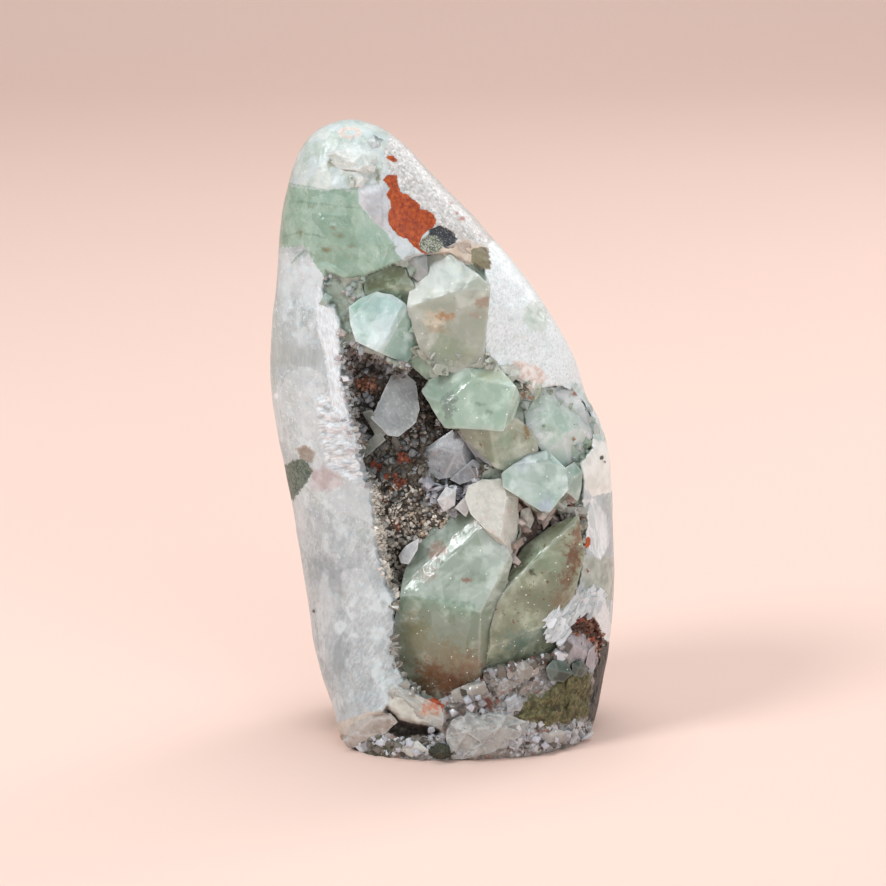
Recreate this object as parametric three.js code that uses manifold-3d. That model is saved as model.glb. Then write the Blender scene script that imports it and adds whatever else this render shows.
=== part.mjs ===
// Zeolite freeform: a cut and part-polished stone with a natural pocket of
// apophyllite and stilbite crystals. Millimetres, +Z up, front towards -Y.
import * as THREE from "three";
import { ConvexGeometry } from "three/addons/geometries/ConvexGeometry.js";
import { mergeVertices } from "three/addons/utils/BufferGeometryUtils.js";
import Module from "manifold-3d";

// ---- driving dimensions -------------------------------------------------
const HEIGHT = 136.6; // standing height, foot to crown
const COLUMNS = 48; // faces round the stone
const RINGS = 33; // rings from foot to crown
const FIELD_DEPTH = 6.5; // how far the crystal field lies below the polished skin
const VUG_DEPTH = 11.5; // how far the deep vug lies below the polished skin
const GAP_DEPTH = 10.0; // gap above the lower right crystal
const FOOT_DEPTH = 1.2; // broken natural skin at the foot
const FOOT_HOLLOW_DEPTH = 5.0; // dark hollow under the slab
const ARCH_HOLLOW_DEPTH = 4.0; // hollow under the fibrous arch
const SOCKET_GAP = 0.42; // clearance round each crystal's root
const SIGHT_TILT = 14; // degrees: outlines of the front are drawn along a line of sight tilted this far down
const SIGHT_LENGTH = 900; // distance over which those lines of sight converge
const SIGHT_HEIGHT = 64.6; // height they converge about

// Cross-sections from foot to crown: height, left edge, right edge, front depth,
// back depth, roundness of the front-left, front-right and back quarters
// (2 is an ellipse, less is flatter, more is squarer).
const SECTIONS = [
  [0, -23.1, 33.2, 27.5, 22, 3.4, 2.3, 2.6],
  [2, -23.7, 34, 27.8, 23, 3.1, 2.2, 2.5],
  [5, -24.3, 34.7, 27.7, 23.8, 2.8, 2.15, 2.45],
  [8, -25.4, 35.2, 27.5, 24.2, 2.5, 2.1, 2.4],
  [11.5, -26.8, 35.8, 27.2, 24.5, 2.3, 2.05, 2.4],
  [16, -28.1, 36.7, 26.8, 24.6, 2.1, 2, 2.35],
  [20.5, -29, 37.2, 26.4, 24.6, 2, 1.95, 2.35],
  [27.5, -29.8, 37.8, 26, 24.5, 1.9, 1.9, 2.3],
  [33, -30.7, 38, 25.6, 24.3, 1.85, 1.85, 2.3],
  [40, -31.7, 37.9, 25.1, 24, 1.8, 1.8, 2.3],
  [47, -32.8, 37.6, 24.6, 23.5, 1.8, 1.8, 2.3],
  [53, -33.8, 37.4, 24.1, 23, 1.8, 1.8, 2.3],
  [57.5, -34.6, 37.1, 23.7, 22.5, 1.8, 1.8, 2.3],
  [63, -35.7, 36.5, 23.2, 22, 1.8, 1.8, 2.3],
  [68.7, -36.7, 34.8, 22.5, 21.3, 1.8, 1.8, 2.3],
  [75.5, -37.6, 31.4, 21.6, 20.4, 1.8, 1.85, 2.3],
  [82, -37.9, 29.5, 20.6, 19.5, 1.85, 1.85, 2.3],
  [88, -37.6, 26.7, 19.6, 18.5, 1.85, 1.85, 2.3],
  [94.5, -37.1, 22.9, 18.5, 17.3, 1.9, 1.9, 2.3],
  [99, -36.5, 19.9, 17.7, 16.4, 1.9, 1.9, 2.3],
  [105.7, -35.9, 14.8, 16.4, 15, 1.95, 1.9, 2.25],
  [111.2, -35.5, 10.1, 15.2, 13.7, 2, 1.9, 2.25],
  [115.6, -35, 6.3, 14.1, 12.6, 2, 1.95, 2.2],
  [120, -34.1, 1.9, 12.9, 11.3, 2, 2, 2.2],
  [123.8, -33.2, -1.6, 11.6, 10.1, 2, 2, 2.2],
  [127, -32.2, -4.5, 10.2, 8.9, 2, 2, 2.1],
  [129.5, -31.1, -6.8, 8.9, 7.8, 2, 2, 2.1],
  [131.8, -29.6, -9.1, 7.5, 6.6, 2, 2, 2],
  [133.4, -28.2, -11.2, 6.2, 5.5, 2, 2, 2],
  [134.8, -26.2, -13.4, 4.6, 4.1, 2, 2, 2],
  [135.9, -23.5, -16.3, 2.7, 2.4, 2, 2, 2],
  [136.6, -20, -20, 0, 0, 2, 2, 2],
];

// Outlines on the front, as [x, z] on the plane y = 0, swept along the line of sight.
const VUG = [[-22.3, 87.2], [-19.7, 87.8], [-17.7, 86.5], [-14.2, 85.1], [-11.2, 82.9], [-9, 82.7], [-7.4, 86.3], [-6.6, 90.1], [-4.8, 88.3], [-2.2, 85.1], [-0.4, 82], [0.9, 80.4], [2, 76.6], [4.2, 72.1], [4.4, 67.8], [9.2, 66.9], [11, 59.4], [8.2, 58], [8.8, 55.7], [7.3, 53.4], [9.5, 50], [10, 47], [5.1, 42.2], [-0.7, 37.2], [-7.3, 30.5], [-10, 28.2], [-12, 31.4], [-13.1, 33.7], [-14.2, 37.8], [-14.6, 41.3], [-15.1, 45.9], [-15.7, 50.5], [-16.3, 53.4], [-17.4, 57.3], [-18.5, 61.2], [-19.4, 65.3], [-20.5, 69.8], [-21.5, 74.3], [-22.4, 77.7], [-22.8, 81.1]];
const CRYSTAL_FIELD = [[-25.7, 103.5], [-21.4, 101.7], [-17, 102.4], [-9.8, 105.2], [-6.1, 106.8], [-2.8, 107], [2.6, 106.6], [9.2, 103.9], [9.8, 99], [9, 87.8], [8.8, 82.9], [12.5, 81.1], [19.1, 77.7], [22.4, 76.1], [26.8, 76.6], [31.2, 73.9], [33.2, 68.7], [32.8, 63.5], [30.2, 59.6], [30.9, 56.6], [30.9, 51.6], [32.6, 44.7], [31, 39], [30.4, 32.1], [24.5, 25.8], [25.2, 17], [19.4, 15.6], [13.8, 14.2], [9.2, 12.8], [7.8, 10], [2.7, 7.2], [-0.7, 5.8], [-4, 5.3], [-6.9, 7.7], [-8.9, 10], [-10, 13.5], [-10.7, 15.8], [-10, 19.3], [-10, 22.8], [-10.5, 25.1], [-11.1, 28.6], [-12, 31.4], [-13.1, 33.7], [-14.2, 37.8], [-14.6, 41.3], [-15.1, 45.9], [-15.7, 50.5], [-16.3, 53.4], [-17.4, 57.3], [-18.5, 61.2], [-19.4, 65.3], [-20.5, 69.8], [-21.5, 74.3], [-22.4, 77.7], [-22.8, 81.1], [-22.3, 86.7], [-23, 91.2], [-23.6, 95.4], [-25.3, 96.1], [-26.4, 99]];
const GAP = [[14.1, 53], [16.1, 53.4], [21, 49.6], [23.4, 48.6], [27.2, 53.4], [30.1, 51.6], [29.6, 47.7], [26.4, 44.3], [22.6, 40.6], [18.6, 36], [14, 30.9], [12.7, 34.4], [15.3, 39.7], [16.6, 44.7]];
const FOOT_DRUSE = [[-14.1, 2.5], [-11.9, 3.9], [-11.2, 2.8], [-9.6, 1.1], [-4, -0.1], [-0.4, -1], [0, 2.5], [-1.3, 6.5], [2, 8.1], [7.2, 10.7], [9.6, 14], [13.8, 15.4], [22.3, 17.5], [25.4, 18.2], [23.6, 22.8], [25.4, 26.1], [29.4, 26.8], [33.8, 25.1], [35.4, 19.3], [35, 14.7], [33.8, 7.7], [32.9, 2.5], [33, -5.2], [29.7, -10], [24.1, -12.3], [18.4, -13.5], [10.6, -14.7], [-0.7, -14.7], [-6.3, -14.7], [-11.9, -14.7], [-18.7, -13], [-23.1, -10], [-24, -4.5], [-21.3, -2.9], [-18.2, -0.3], [-16.4, 1.6]];
const FOOT_HOLLOW = [[-14.1, 2.5], [-11.9, 3.9], [-11.2, 2.8], [-9.6, 1.1], [-4, -0.1], [-0.4, -1], [0, -2.4], [-2.9, -3.6], [-7.4, -4.5], [-10.8, -3.6], [-13.5, -1.7]];
const ARCH_HOLLOW = [[28.5, 23.5], [30.5, 25.6], [33.2, 25.4], [35, 22.8], [35.2, 18.2], [33.7, 17.7], [31.2, 20.7], [28.8, 20.5]];

// Each crystal as the corners of its convex form, [x, y, z].
const CRYSTALS = {
  apophyllite_large: [[9.3, -18.2, 52.8], [-8.9, -20.1, 36], [8, -25.7, 33.4], [14.3, -22.5, 45], [4.1, -13.2, 53.3], [-2.4, -11.6, 49.3], [-6.5, -14.2, 43.4], [-8.5, -17.3, 38.9], [7.6, -23.6, 17.6], [-0.4, -20.2, 12.2], [-6.6, -18.3, 14.3], [-9.8, -17.8, 19.7], [-10.5, -18.7, 29.1], [12.1, -22.7, 35.7], [10.6, -22.4, 26.1], [-8, -3.6, 18.1], [-8.5, -4, 25.6], [-6.9, -3.5, 33.8], [-5.3, -2.4, 37.9], [-1.9, -1.5, 43], [3.4, -2, 46], [7.6, -3.8, 45.1], [11.7, -5.3, 38.2], [8.7, -5.3, 22.7], [6.2, -5.7, 15.6], [-0.3, -4.5, 11.7], [-5.3, -3.8, 13.7]],
  apophyllite_lower_right: [[13, -22.4, 36.9], [19.1, -20.6, 42.3], [23, -19, 46.3], [29.1, -16.8, 52.2], [15.4, -17.9, 41.5], [17.6, -15.3, 44.9], [24.6, -14.9, 50.1], [30.4, -16.9, 44.4], [29.2, -17.6, 38], [25.5, -19, 34.1], [22.6, -20.1, 29.5], [15, -22.4, 26.1], [10.2, -24, 25.2], [11.5, -23.1, 34], [24.7, -17.9, 26.6], [24.5, -15.6, 21.5], [19, -18.2, 21.4], [13.1, -20.4, 20.2], [9.4, -21.8, 19.6], [28.1, -5.3, 46.6], [29.2, -5.4, 40.1], [28.1, -5.6, 34.7], [24.3, -4.9, 21.3], [11.7, -7.1, 18.7], [13.5, -7.5, 30.5], [16.7, -5.7, 37.5], [18.5, -4.8, 40.7], [24.3, -4.7, 45.1]],
  apophyllite_pale: [[-19.9, -17.1, 98.7], [-17.4, -16.4, 100.5], [-14.1, -16, 101.7], [-10.9, -15.9, 101], [-8.4, -16.1, 99.3], [-9, -16.6, 96.2], [-13.9, -16.8, 97.5], [-19.5, -18.4, 95.2], [-18.4, -19.4, 92.2], [-13.9, -19.7, 90], [-11.1, -18.1, 92.3], [-9.9, -16.5, 87.5], [-8, -14.9, 86.3], [-6.5, -13.9, 88.7], [-5.6, -13.5, 92.2], [-6.5, -14.5, 96.8], [-7, -4.5, 90.7], [-7.8, -4.6, 87.8], [-9, -4.9, 85.8], [-13.8, -6.6, 88.3], [-17.5, -6.5, 90], [-18.3, -6.1, 92.6], [-18.7, -5.7, 95.6], [-16.6, -5.5, 97.1], [-14, -5.3, 98.1], [-11.4, -5.3, 97.6], [-9.3, -5.4, 96.2], [-7.7, -4.8, 94.3]],
  apophyllite_milky: [[-7.3, -16.1, 98.9], [-0.6, -17.2, 100.9], [5.8, -18, 103.7], [9.6, -18.5, 103.6], [-3.9, -10.8, 108.5], [0.6, -12.1, 109.2], [4.1, -14.4, 107.7], [7.7, -17.3, 105.7], [-6.7, -13.3, 103.3], [9.4, -18.2, 98], [8.8, -17.7, 90.7], [8.2, -17.4, 86.7], [4.1, -16.8, 84.5], [-0.7, -16.3, 85.1], [-4.1, -16, 88.8], [-6.2, -16, 93.6], [7, -4.5, 86], [3.7, -4.3, 84.3], [-0.2, -4.1, 84.8], [-3, -4, 87.8], [-4.7, -4, 91.8], [-5.6, -4.1, 96], [-5, -3.1, 99.9], [-2.8, -2.2, 104.3], [0.9, -2.6, 104.8], [3.6, -3.5, 103.4], [6.6, -4.5, 101.4], [8.2, -4.9, 99.6], [8, -4.8, 95.1], [7.5, -4.6, 89.2]],
  apophyllite_middle: [[1.3, -20.7, 78.2], [4.1, -19.1, 82.4], [7.5, -19.9, 83.5], [15.4, -22.3, 82.5], [14.5, -23.4, 79.5], [12.8, -25.6, 73.8], [3.2, -23, 73.9], [-4.3, -15.5, 80], [-2.8, -14.7, 82.1], [0.9, -15.4, 84], [5.8, -17.3, 85.3], [11.8, -18, 85.2], [-1.1, -19.1, 78], [0.6, -21.2, 73.4], [-1.3, -19.2, 76], [16.3, -18.6, 79.2], [15.3, -19.9, 75.5], [11.9, -9.7, 71.3], [1.7, -8.2, 71.5], [0.1, -7.5, 73.9], [-2.4, -6.2, 77.6], [-1.1, -5.9, 79.4], [1.9, -6.1, 80.9], [6, -6.8, 81.8], [11, -7, 81.7], [14, -8.6, 78.9], [14.8, -7.2, 76.6], [13.9, -7.7, 73.4]],
  apophyllite_shoulder: [[10.1, -21.9, 73.4], [11, -21.1, 68.3], [11.6, -20.5, 64.4], [3.2, -17.5, 73], [5.2, -17.8, 69.7], [8.4, -19.1, 66.9], [14.8, -19.8, 75.3], [17.2, -18.5, 73.4], [20.1, -16.9, 69.3], [20.3, -16.6, 67], [15.5, -18.8, 65], [13.6, -19.6, 63.5], [19.4, -7.2, 64.8], [13.6, -8.2, 61.5], [12, -8.5, 62.1], [9.2, -8, 64.5], [6.4, -7.6, 67.1], [4.7, -7.5, 69.9], [14.7, -8.3, 71.6], [16.8, -7.8, 70.2], [19.2, -7.3, 66.8]],
  apophyllite_kite: [[14.8, -21, 64.5], [18.1, -19.8, 65.1], [22.9, -18.7, 65], [18.8, -17.7, 66.3], [22.3, -16.4, 66.9], [26.4, -18.2, 63.1], [26.8, -19.2, 59.1], [22.6, -21.5, 54.6], [20.5, -21.8, 55.6], [15.5, -22.2, 59], [13.1, -22.3, 61.1], [12.9, -21.8, 62.9], [25.2, -9.7, 57.2], [22.1, -10.5, 53.5], [20.5, -10.7, 54.2], [16.7, -10.8, 56.8], [14.9, -10.8, 58.3], [14.7, -10.7, 59.8], [16.2, -10.4, 61], [19.1, -9.2, 62.8], [21.8, -8.8, 63.3], [24.9, -9.4, 60.3]],
  apophyllite_small_right: [[26.6, -16.2, 62.8], [28.4, -13.8, 63.4], [30, -13.7, 61.5], [29.8, -14.2, 57.6], [29.1, -15.2, 55.8], [26.6, -18.2, 58.7], [27.9, -16.4, 60.9], [27.2, -8.4, 56.4], [27.2, -7.6, 60.2], [28.7, -6.8, 61], [30, -6.8, 59.5], [29.8, -6.9, 56], [29.3, -7.3, 54.4]],
  stilbite_column: [[5.6, -20.6, 60], [8.4, -20.1, 61.2], [12.5, -19.7, 61.3], [13.6, -20.6, 58], [13.2, -21.7, 52.9], [12.3, -22.9, 49.4], [9.3, -22.6, 51.1], [6, -21.9, 55], [5, -21.3, 57.7], [16, -17.4, 57.1], [16.1, -17.8, 49.6], [14.7, -19.9, 45], [12.4, -8.2, 57.4], [15.4, -7.4, 54.1], [15.4, -7.6, 47.6], [14.3, -8.3, 43.3], [9.6, -9.3, 48.2], [6.8, -9, 51.6], [5.9, -8.8, 54.1], [6.4, -8.6, 56.1], [8.8, -8.4, 57.2]],
  stilbite_ball: [[-2.8, -12.6, 66.2], [-0.4, -12.8, 68.7], [2.6, -12.8, 70.5], [5.2, -13.8, 70.3], [6.9, -13.1, 67.2], [8, -12.8, 64.2], [5.2, -15.4, 62.6], [2.6, -14.8, 61.1], [-0.7, -13.7, 60.2], [-3.3, -12.4, 61.4], [-5, -11.5, 62.8], [-5.2, -11.4, 64.8], [0.7, -14.4, 66.6], [4.1, -15.6, 66.5], [1.9, -15, 63.6], [-3.9, -4.8, 63], [-0.1, -5.2, 66], [2.4, -5.2, 67.5], [4.5, -5.6, 67.2], [5.9, -5.3, 64.8], [6.8, -5.2, 62.4], [4.5, -6.1, 60.8], [2.4, -6, 59.7], [-0.2, -5.5, 59], [-2.3, -5.1, 60.2], [-3.7, -4.8, 61.4]],
  stilbite_blade: [[-11.1, -9.7, 81.8], [-8.2, -9.8, 82.2], [-6.1, -10.9, 80.5], [-6.3, -12.3, 77.7], [-5.4, -13.6, 75.3], [-6.1, -14.6, 73.1], [-7.6, -15.1, 71.7], [-9.9, -15.5, 70.3], [-11.9, -15.2, 70.4], [-13.8, -14.2, 72.1], [-15.2, -13.4, 73.3], [-13.7, -12.5, 75.5], [-11.9, -11.5, 78], [-10.6, -10.8, 79.6], [-14, -8, 72.4], [-10.7, -6.7, 79.6], [-8.4, -6.8, 80], [-6.7, -7.1, 78.5], [-6.2, -8.1, 74], [-6.7, -8.4, 72.2], [-7.9, -8.6, 71], [-9.8, -8.8, 69.7], [-11.4, -8.7, 69.9]],
  apophyllite_deep_green: [[-8.4, -14.1, 98.9], [-5.6, -14.6, 92.4], [-2.4, -14.9, 90], [-0.4, -14.7, 87.2], [-3.2, -13.2, 82.2], [-7.3, -13, 85.6], [-6.7, -13.9, 89.8], [-7.6, -5.1, 94.4], [-1.6, -5.3, 85.4], [-3.7, -4.8, 81.8], [-6.8, -4.7, 84.4]],
  apophyllite_olive: [[-17, -13.6, 104.1], [-13.5, -13.4, 105.8], [-10.3, -13.4, 106.9], [-8.2, -14, 106.3], [-9.4, -14.9, 103.7], [-16.3, -15, 101.1], [-6.4, -14.4, 102.9], [-6.9, -13.4, 99.2], [-8.8, -13, 96.9], [-14, -14, 98.4], [-9.4, -4.6, 96.2], [-13.6, -5, 97.3], [-15.5, -5.3, 99.3], [-16, -4.8, 101.9], [-13.2, -4.8, 103.3], [-10.6, -4.8, 104.2], [-8.9, -5, 103.7], [-7.5, -5.1, 100.9], [-7.8, -4.8, 98]],
  stilbite_chunk: [[-25.6, -7.2, 129.9], [-22.7, -7.7, 131.9], [-17.8, -7.9, 131.5], [-15.4, -9.4, 128.6], [-15.8, -10.9, 124.7], [-19.7, -11.2, 123.4], [-21.2, -10.1, 126.9], [-21, -10.6, 130.1], [-18.2, -11.7, 128.1], [-19.8, -3.2, 123], [-24.5, -1.8, 128.6], [-22.2, -1.9, 130.2], [-18.3, -2, 129.8], [-16.4, -2.6, 127.3], [-16.7, -3.1, 124.1]],
  stilbite_plate_upper: [[-17.1, -12.2, 74.3], [-15.6, -13, 75], [-12.8, -13.6, 70], [-13.9, -12.8, 68.7], [-14.1, -4.9, 66.9], [-17.2, -4.7, 72.4], [-15.7, -5, 72.9], [-13, -5.2, 68]],
  stilbite_plate_lower: [[-13.9, -13.1, 70.3], [-12.8, -13.7, 68.7], [-17, -11.3, 64.5], [-18.3, -10.5, 65.2], [-18.3, -3.6, 63.5], [-14.1, -4.5, 68], [-13.1, -4.7, 66.4], [-17, -3.8, 62.7]],
  stilbite_plate_small: [[1.9, -15.5, 60.4], [6.5, -16.4, 64.7], [8.2, -17.1, 64], [5.6, -16.8, 60.5], [3.7, -16.3, 59.7], [2.6, -9.1, 59], [6.3, -9.4, 62.3], [7.7, -9.7, 61.7], [5.6, -9.6, 59], [4, -9.4, 58.4]],
  apophyllite_wedge: [[3, -15.1, 71.5], [5.8, -17.8, 72.4], [9.5, -18.5, 71.7], [10.8, -19, 64.5], [7.6, -17.5, 65.6], [8, -19.1, 70], [3.9, -7.9, 69.1], [6.2, -8.8, 69.5], [9.2, -9.1, 68.9], [10.2, -9.2, 63], [7.6, -8.7, 64.1]],
  apophyllite_right_mass: [[17.7, -13.4, 76.4], [21.2, -11.6, 79.1], [25.4, -8, 78.9], [29.2, -5.4, 76.3], [32, -3, 72.1], [32.6, -5.4, 68.4], [31.4, -7.6, 65.6], [29.4, -9.5, 63.8], [27.2, -11.3, 61.4], [23, -14, 64.1], [20.3, -15.3, 68.9], [18.2, -15.2, 72.6], [22.7, -13.7, 74.9], [27.8, -9.4, 74.1], [30.1, -9.3, 69.8], [25.4, -13.9, 68.7], [27.2, -1.7, 60.8], [23.7, -2.7, 62.7], [21.5, -3.1, 66.5], [19.7, -3.1, 69.6], [19.3, -2.5, 73], [22.2, -1.8, 75.4], [25.6, -0.5, 75.7], [28.8, 0.3, 73.8], [31, 1.2, 70.6], [31.5, 0.4, 67.3], [30.6, -0.4, 64.7]],
  heulandite_lump: [[1.3, -26.8, 8.8], [4.3, -27, 10.5], [8.2, -27, 10.2], [13.7, -25.9, 10.2], [18.3, -24.4, 8.1], [18.5, -24.5, 6], [13.7, -26.3, 3.6], [9.6, -27.1, 1.8], [4.3, -26.8, 0.4], [1.7, -26.8, 0.8], [0.7, -26.9, 5.2], [5, -29.1, 7.8], [12.4, -28.5, 8.2], [8.5, -28.8, 4.7], [3, -17.8, 0.4], [2.1, -17.9, 2.4], [2.6, -17.8, 5.4], [5.2, -17.9, 6.7], [12.9, -17.5, 6.6], [16.7, -17, 5.1], [16.9, -17, 3.4], [12.9, -17.6, 1.1], [9.5, -17.9, 0.4], [5.2, -17.8, 0.4]],
  chalcedony_lump: [[26.2, -18, 24.1], [28.2, -16.8, 25.5], [30.7, -14.2, 25], [33.3, -10.9, 21], [33.1, -10.9, 17.8], [30.1, -14.6, 17.6], [26.9, -17.3, 19.5], [28.6, -17.5, 23.5], [30.9, -15.5, 21.7], [30.7, -7.8, 22.3], [32.8, -6.6, 19.6], [32.6, -6.6, 17], [30.2, -7.9, 16.3], [27.7, -8.8, 17.5], [27.2, -9.1, 21.1], [28.8, -8.7, 22.4]],
  celadonite_ball: [[-3.3, -26.4, 1.4], [-2.6, -27, 3.2], [-0.7, -27.2, 4.2], [1.3, -27.3, 3.5], [2.4, -26.8, 1.5], [1.5, -26.3, 0.4], [-0.4, -25.9, 0.4], [-2.4, -26.3, 0.4], [-1.3, -29.6, 2.9], [0.4, -29.6, 2.7], [-2.7, -20.9, 0.4], [-2.2, -21.2, 1], [-0.6, -21.2, 1.7], [0.9, -21.3, 1.2], [1.8, -21.1, 0.4], [1.1, -20.9, 0.4], [-0.5, -20.8, 0.4], [-2, -20.9, 0.4]],
  stilbite_chip: [[-9.4, -15.9, 43.2], [-7.8, -16.8, 45.7], [-5.6, -18.2, 47.2], [-5.9, -18.4, 45.5], [-7.6, -17.6, 42.1], [-8.9, -16.5, 42], [-8.7, -11, 40.9], [-9.1, -10.8, 41.9], [-7.8, -11.1, 43.8], [-6.1, -11.6, 44.9], [-6.2, -11.6, 43.4], [-7.7, -11.3, 40.8]],
};

// Crystal groups: node name, members grown into one solid, colour, roughness.
// The first named keep their full form; later ones are cut back where they meet.
const GROUPS = [
  ["apophyllite_large", ["apophyllite_large"], 0xa9b8a2, 0.14],
  ["apophyllite_middle", ["apophyllite_middle", "apophyllite_shoulder", "apophyllite_wedge"], 0xa6b9a9, 0.16],
  ["apophyllite_pale", ["apophyllite_pale"], 0xc3d8d3, 0.15],
  ["apophyllite_milky", ["apophyllite_milky"], 0xb9bfb1, 0.2],
  ["apophyllite_kite", ["apophyllite_kite", "apophyllite_small_right"], 0xb2c2b8, 0.15],
  ["apophyllite_lower_right", ["apophyllite_lower_right"], 0x8f9580, 0.17],
  ["apophyllite_deep_green", ["apophyllite_deep_green"], 0x7b917d, 0.18],
  ["apophyllite_olive", ["apophyllite_olive"], 0x83907d, 0.2],
  ["apophyllite_right_mass", ["apophyllite_right_mass"], 0xb3c0ba, 0.28],
  ["stilbite_column", ["stilbite_column"], 0xc5c8c2, 0.3],
  ["stilbite_ball", ["stilbite_ball", "stilbite_plate_small"], 0x98999a, 0.32],
  ["stilbite_blade", ["stilbite_blade"], 0x9ba2a2, 0.3],
  ["stilbite_plates", ["stilbite_plate_upper", "stilbite_plate_lower"], 0x8c938c, 0.3],
  ["stilbite_chip", ["stilbite_chip"], 0xd2d6d6, 0.3],
  ["stilbite_chunk", ["stilbite_chunk"], 0xd6dcd6, 0.32],
  ["heulandite_lump", ["heulandite_lump"], 0xaaa7a0, 0.4],
  ["chalcedony_lump", ["chalcedony_lump"], 0xa8a5a6, 0.35],
  ["celadonite_ball", ["celadonite_ball"], 0x4c4f40, 0.7],
];

// ---- solids --------------------------------------------------------------
const wasm = await Module();
wasm.setup();
const { Manifold, Mesh } = wasm;

function toManifold(geometry) {
  const g = geometry.clone();
  g.deleteAttribute("normal");
  g.deleteAttribute("uv");
  const merged = mergeVertices(g, 1e-4);
  return new Manifold(
    new Mesh({
      numProp: 3,
      vertProperties: Float32Array.from(merged.attributes.position.array),
      triVerts: Uint32Array.from(merged.index.array),
    }),
  );
}

function toGeometry(solid) {
  const m = solid.getMesh();
  const g = new THREE.BufferGeometry();
  const p = new Float32Array(m.numVert * 3);
  for (let i = 0; i < m.numVert; i++)
    for (let k = 0; k < 3; k++) p[3 * i + k] = m.vertProperties[m.numProp * i + k];
  g.setAttribute("position", new THREE.BufferAttribute(p, 3));
  g.setIndex(new THREE.BufferAttribute(Uint32Array.from(m.triVerts), 1));
  g.computeVertexNormals();
  return g;
}

function largest(solid) {
  const parts = solid.decompose();
  return parts.reduce((a, b) => (b.volume() > a.volume() ? b : a));
}

// One column of SECTIONS at a height, by cubic interpolation over the root of
// the distance to the crown, so that the crown closes round.
const ROOTS = SECTIONS.map((s) => Math.sqrt(HEIGHT - s[0])).reverse();
const ROWS = SECTIONS.slice().reverse();
function sectionValue(column, height) {
  const q = Math.sqrt(Math.max(HEIGHT - height, 0));
  let i = 0;
  while (i < ROOTS.length - 2 && ROOTS[i + 1] < q) i++;
  const slope = (k) => {
    const a = Math.max(k - 1, 0);
    const b = Math.min(k + 1, ROOTS.length - 1);
    return (ROWS[b][column] - ROWS[a][column]) / (ROOTS[b] - ROOTS[a]);
  };
  const h = ROOTS[i + 1] - ROOTS[i];
  const t = (q - ROOTS[i]) / h;
  const t2 = t * t;
  const t3 = t2 * t;
  return (
    (2 * t3 - 3 * t2 + 1) * ROWS[i][column] +
    (t3 - 2 * t2 + t) * h * slope(i) +
    (3 * t2 - 2 * t3) * ROWS[i + 1][column] +
    (t3 - t2) * h * slope(i + 1)
  );
}

// Depth of the polished front skin (negative y) at x and height.
function frontSkin(x, height) {
  const z = Math.min(Math.max(height, 0), HEIGHT - 0.1);
  const left = sectionValue(1, z);
  const right = sectionValue(2, z);
  const t = (x - (left + right) / 2) / ((right - left) / 2);
  const p = sectionValue(t < 0 ? 5 : 6, z);
  if (Math.abs(t) >= 1) return 0;
  return -sectionValue(3, z) * (1 - Math.abs(t) ** p) ** (1 / p);
}

// The stone before its pocket: rings of faces closed by a flat foot and a crown.
function stone() {
  const vertices = [];
  const faces = [];
  const angle = (j) => {
    // more columns on the front half than on the back
    const front = Math.round(COLUMNS * 0.58);
    return j < front
      ? Math.PI + (Math.PI * j) / front
      : (Math.PI * (j - front)) / (COLUMNS - front);
  };
  for (let i = 0; i < RINGS; i++) {
    const z = HEIGHT * (1 - (1 - i / RINGS) ** 1.45);
    const [l, r, f, b, pl, pr, pb] = [1, 2, 3, 4, 5, 6, 7].map((c) => sectionValue(c, z));
    for (let j = 0; j < COLUMNS; j++) {
      const c = Math.cos(angle(j));
      const s = Math.sin(angle(j));
      const p = s < 0 ? (c < 0 ? pl : pr) : pb;
      vertices.push(
        (l + r) / 2 + ((r - l) / 2) * Math.sign(c) * Math.abs(c) ** (2 / p),
        (s < 0 ? -f : b) * Math.abs(s) ** (2 / p),
        z,
      );
    }
  }
  vertices.push((SECTIONS[0][1] + SECTIONS[0][2]) / 2, 0, 0);
  vertices.push(SECTIONS[SECTIONS.length - 1][1], 0, HEIGHT);
  const foot = RINGS * COLUMNS;
  const crown = foot + 1;
  for (let j = 0; j < COLUMNS; j++) {
    const k = (j + 1) % COLUMNS;
    faces.push(foot, k, j);
    faces.push(crown, (RINGS - 1) * COLUMNS + j, (RINGS - 1) * COLUMNS + k);
    for (let i = 0; i < RINGS - 1; i++) {
      const a = i * COLUMNS + j;
      const b = i * COLUMNS + k;
      faces.push(a, b, b + COLUMNS, a, b + COLUMNS, a + COLUMNS);
    }
  }
  return new Manifold(
    new Mesh({
      numProp: 3,
      vertProperties: Float32Array.from(vertices),
      triVerts: Uint32Array.from(faces),
    }),
  );
}

// A point of a front outline, moved along the line of sight to depth y.
const TILT = (SIGHT_TILT * Math.PI) / 180;
const SOURCE = [0, -SIGHT_LENGTH * Math.cos(TILT), SIGHT_HEIGHT + SIGHT_LENGTH * Math.sin(TILT)];
function alongSight([x, z], y) {
  const k = y / -SOURCE[1];
  return [x + (x - SOURCE[0]) * k, y, z + (z - SOURCE[2]) * k];
}

// A closed outline swept along the line of sight between two depths.
function sweep(outline, near, far) {
  const n = outline.length;
  const area = THREE.ShapeUtils.area(outline.map((p) => new THREE.Vector2(p[0], p[1])));
  const ring = area < 0 ? outline.slice().reverse() : outline;
  const shape = ring.map((p) => new THREE.Vector2(p[0], p[1]));
  const vertices = [];
  for (const y of [near, far]) for (const p of ring) vertices.push(...alongSight(p, y));
  const faces = [];
  for (const [a, b, c] of THREE.ShapeUtils.triangulateShape(shape, [])) {
    const flip = THREE.ShapeUtils.area([shape[a], shape[b], shape[c]]) < 0;
    const [p, q] = flip ? [c, b] : [b, c];
    faces.push(a, p, q, a + n, q + n, p + n);
  }
  for (let i = 0; i < n; i++) {
    const j = (i + 1) % n;
    faces.push(j, i, i + n, j, i + n, j + n);
  }
  return new Manifold(
    new Mesh({
      numProp: 3,
      vertProperties: Float32Array.from(vertices),
      triVerts: Uint32Array.from(faces),
    }),
  );
}

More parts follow.
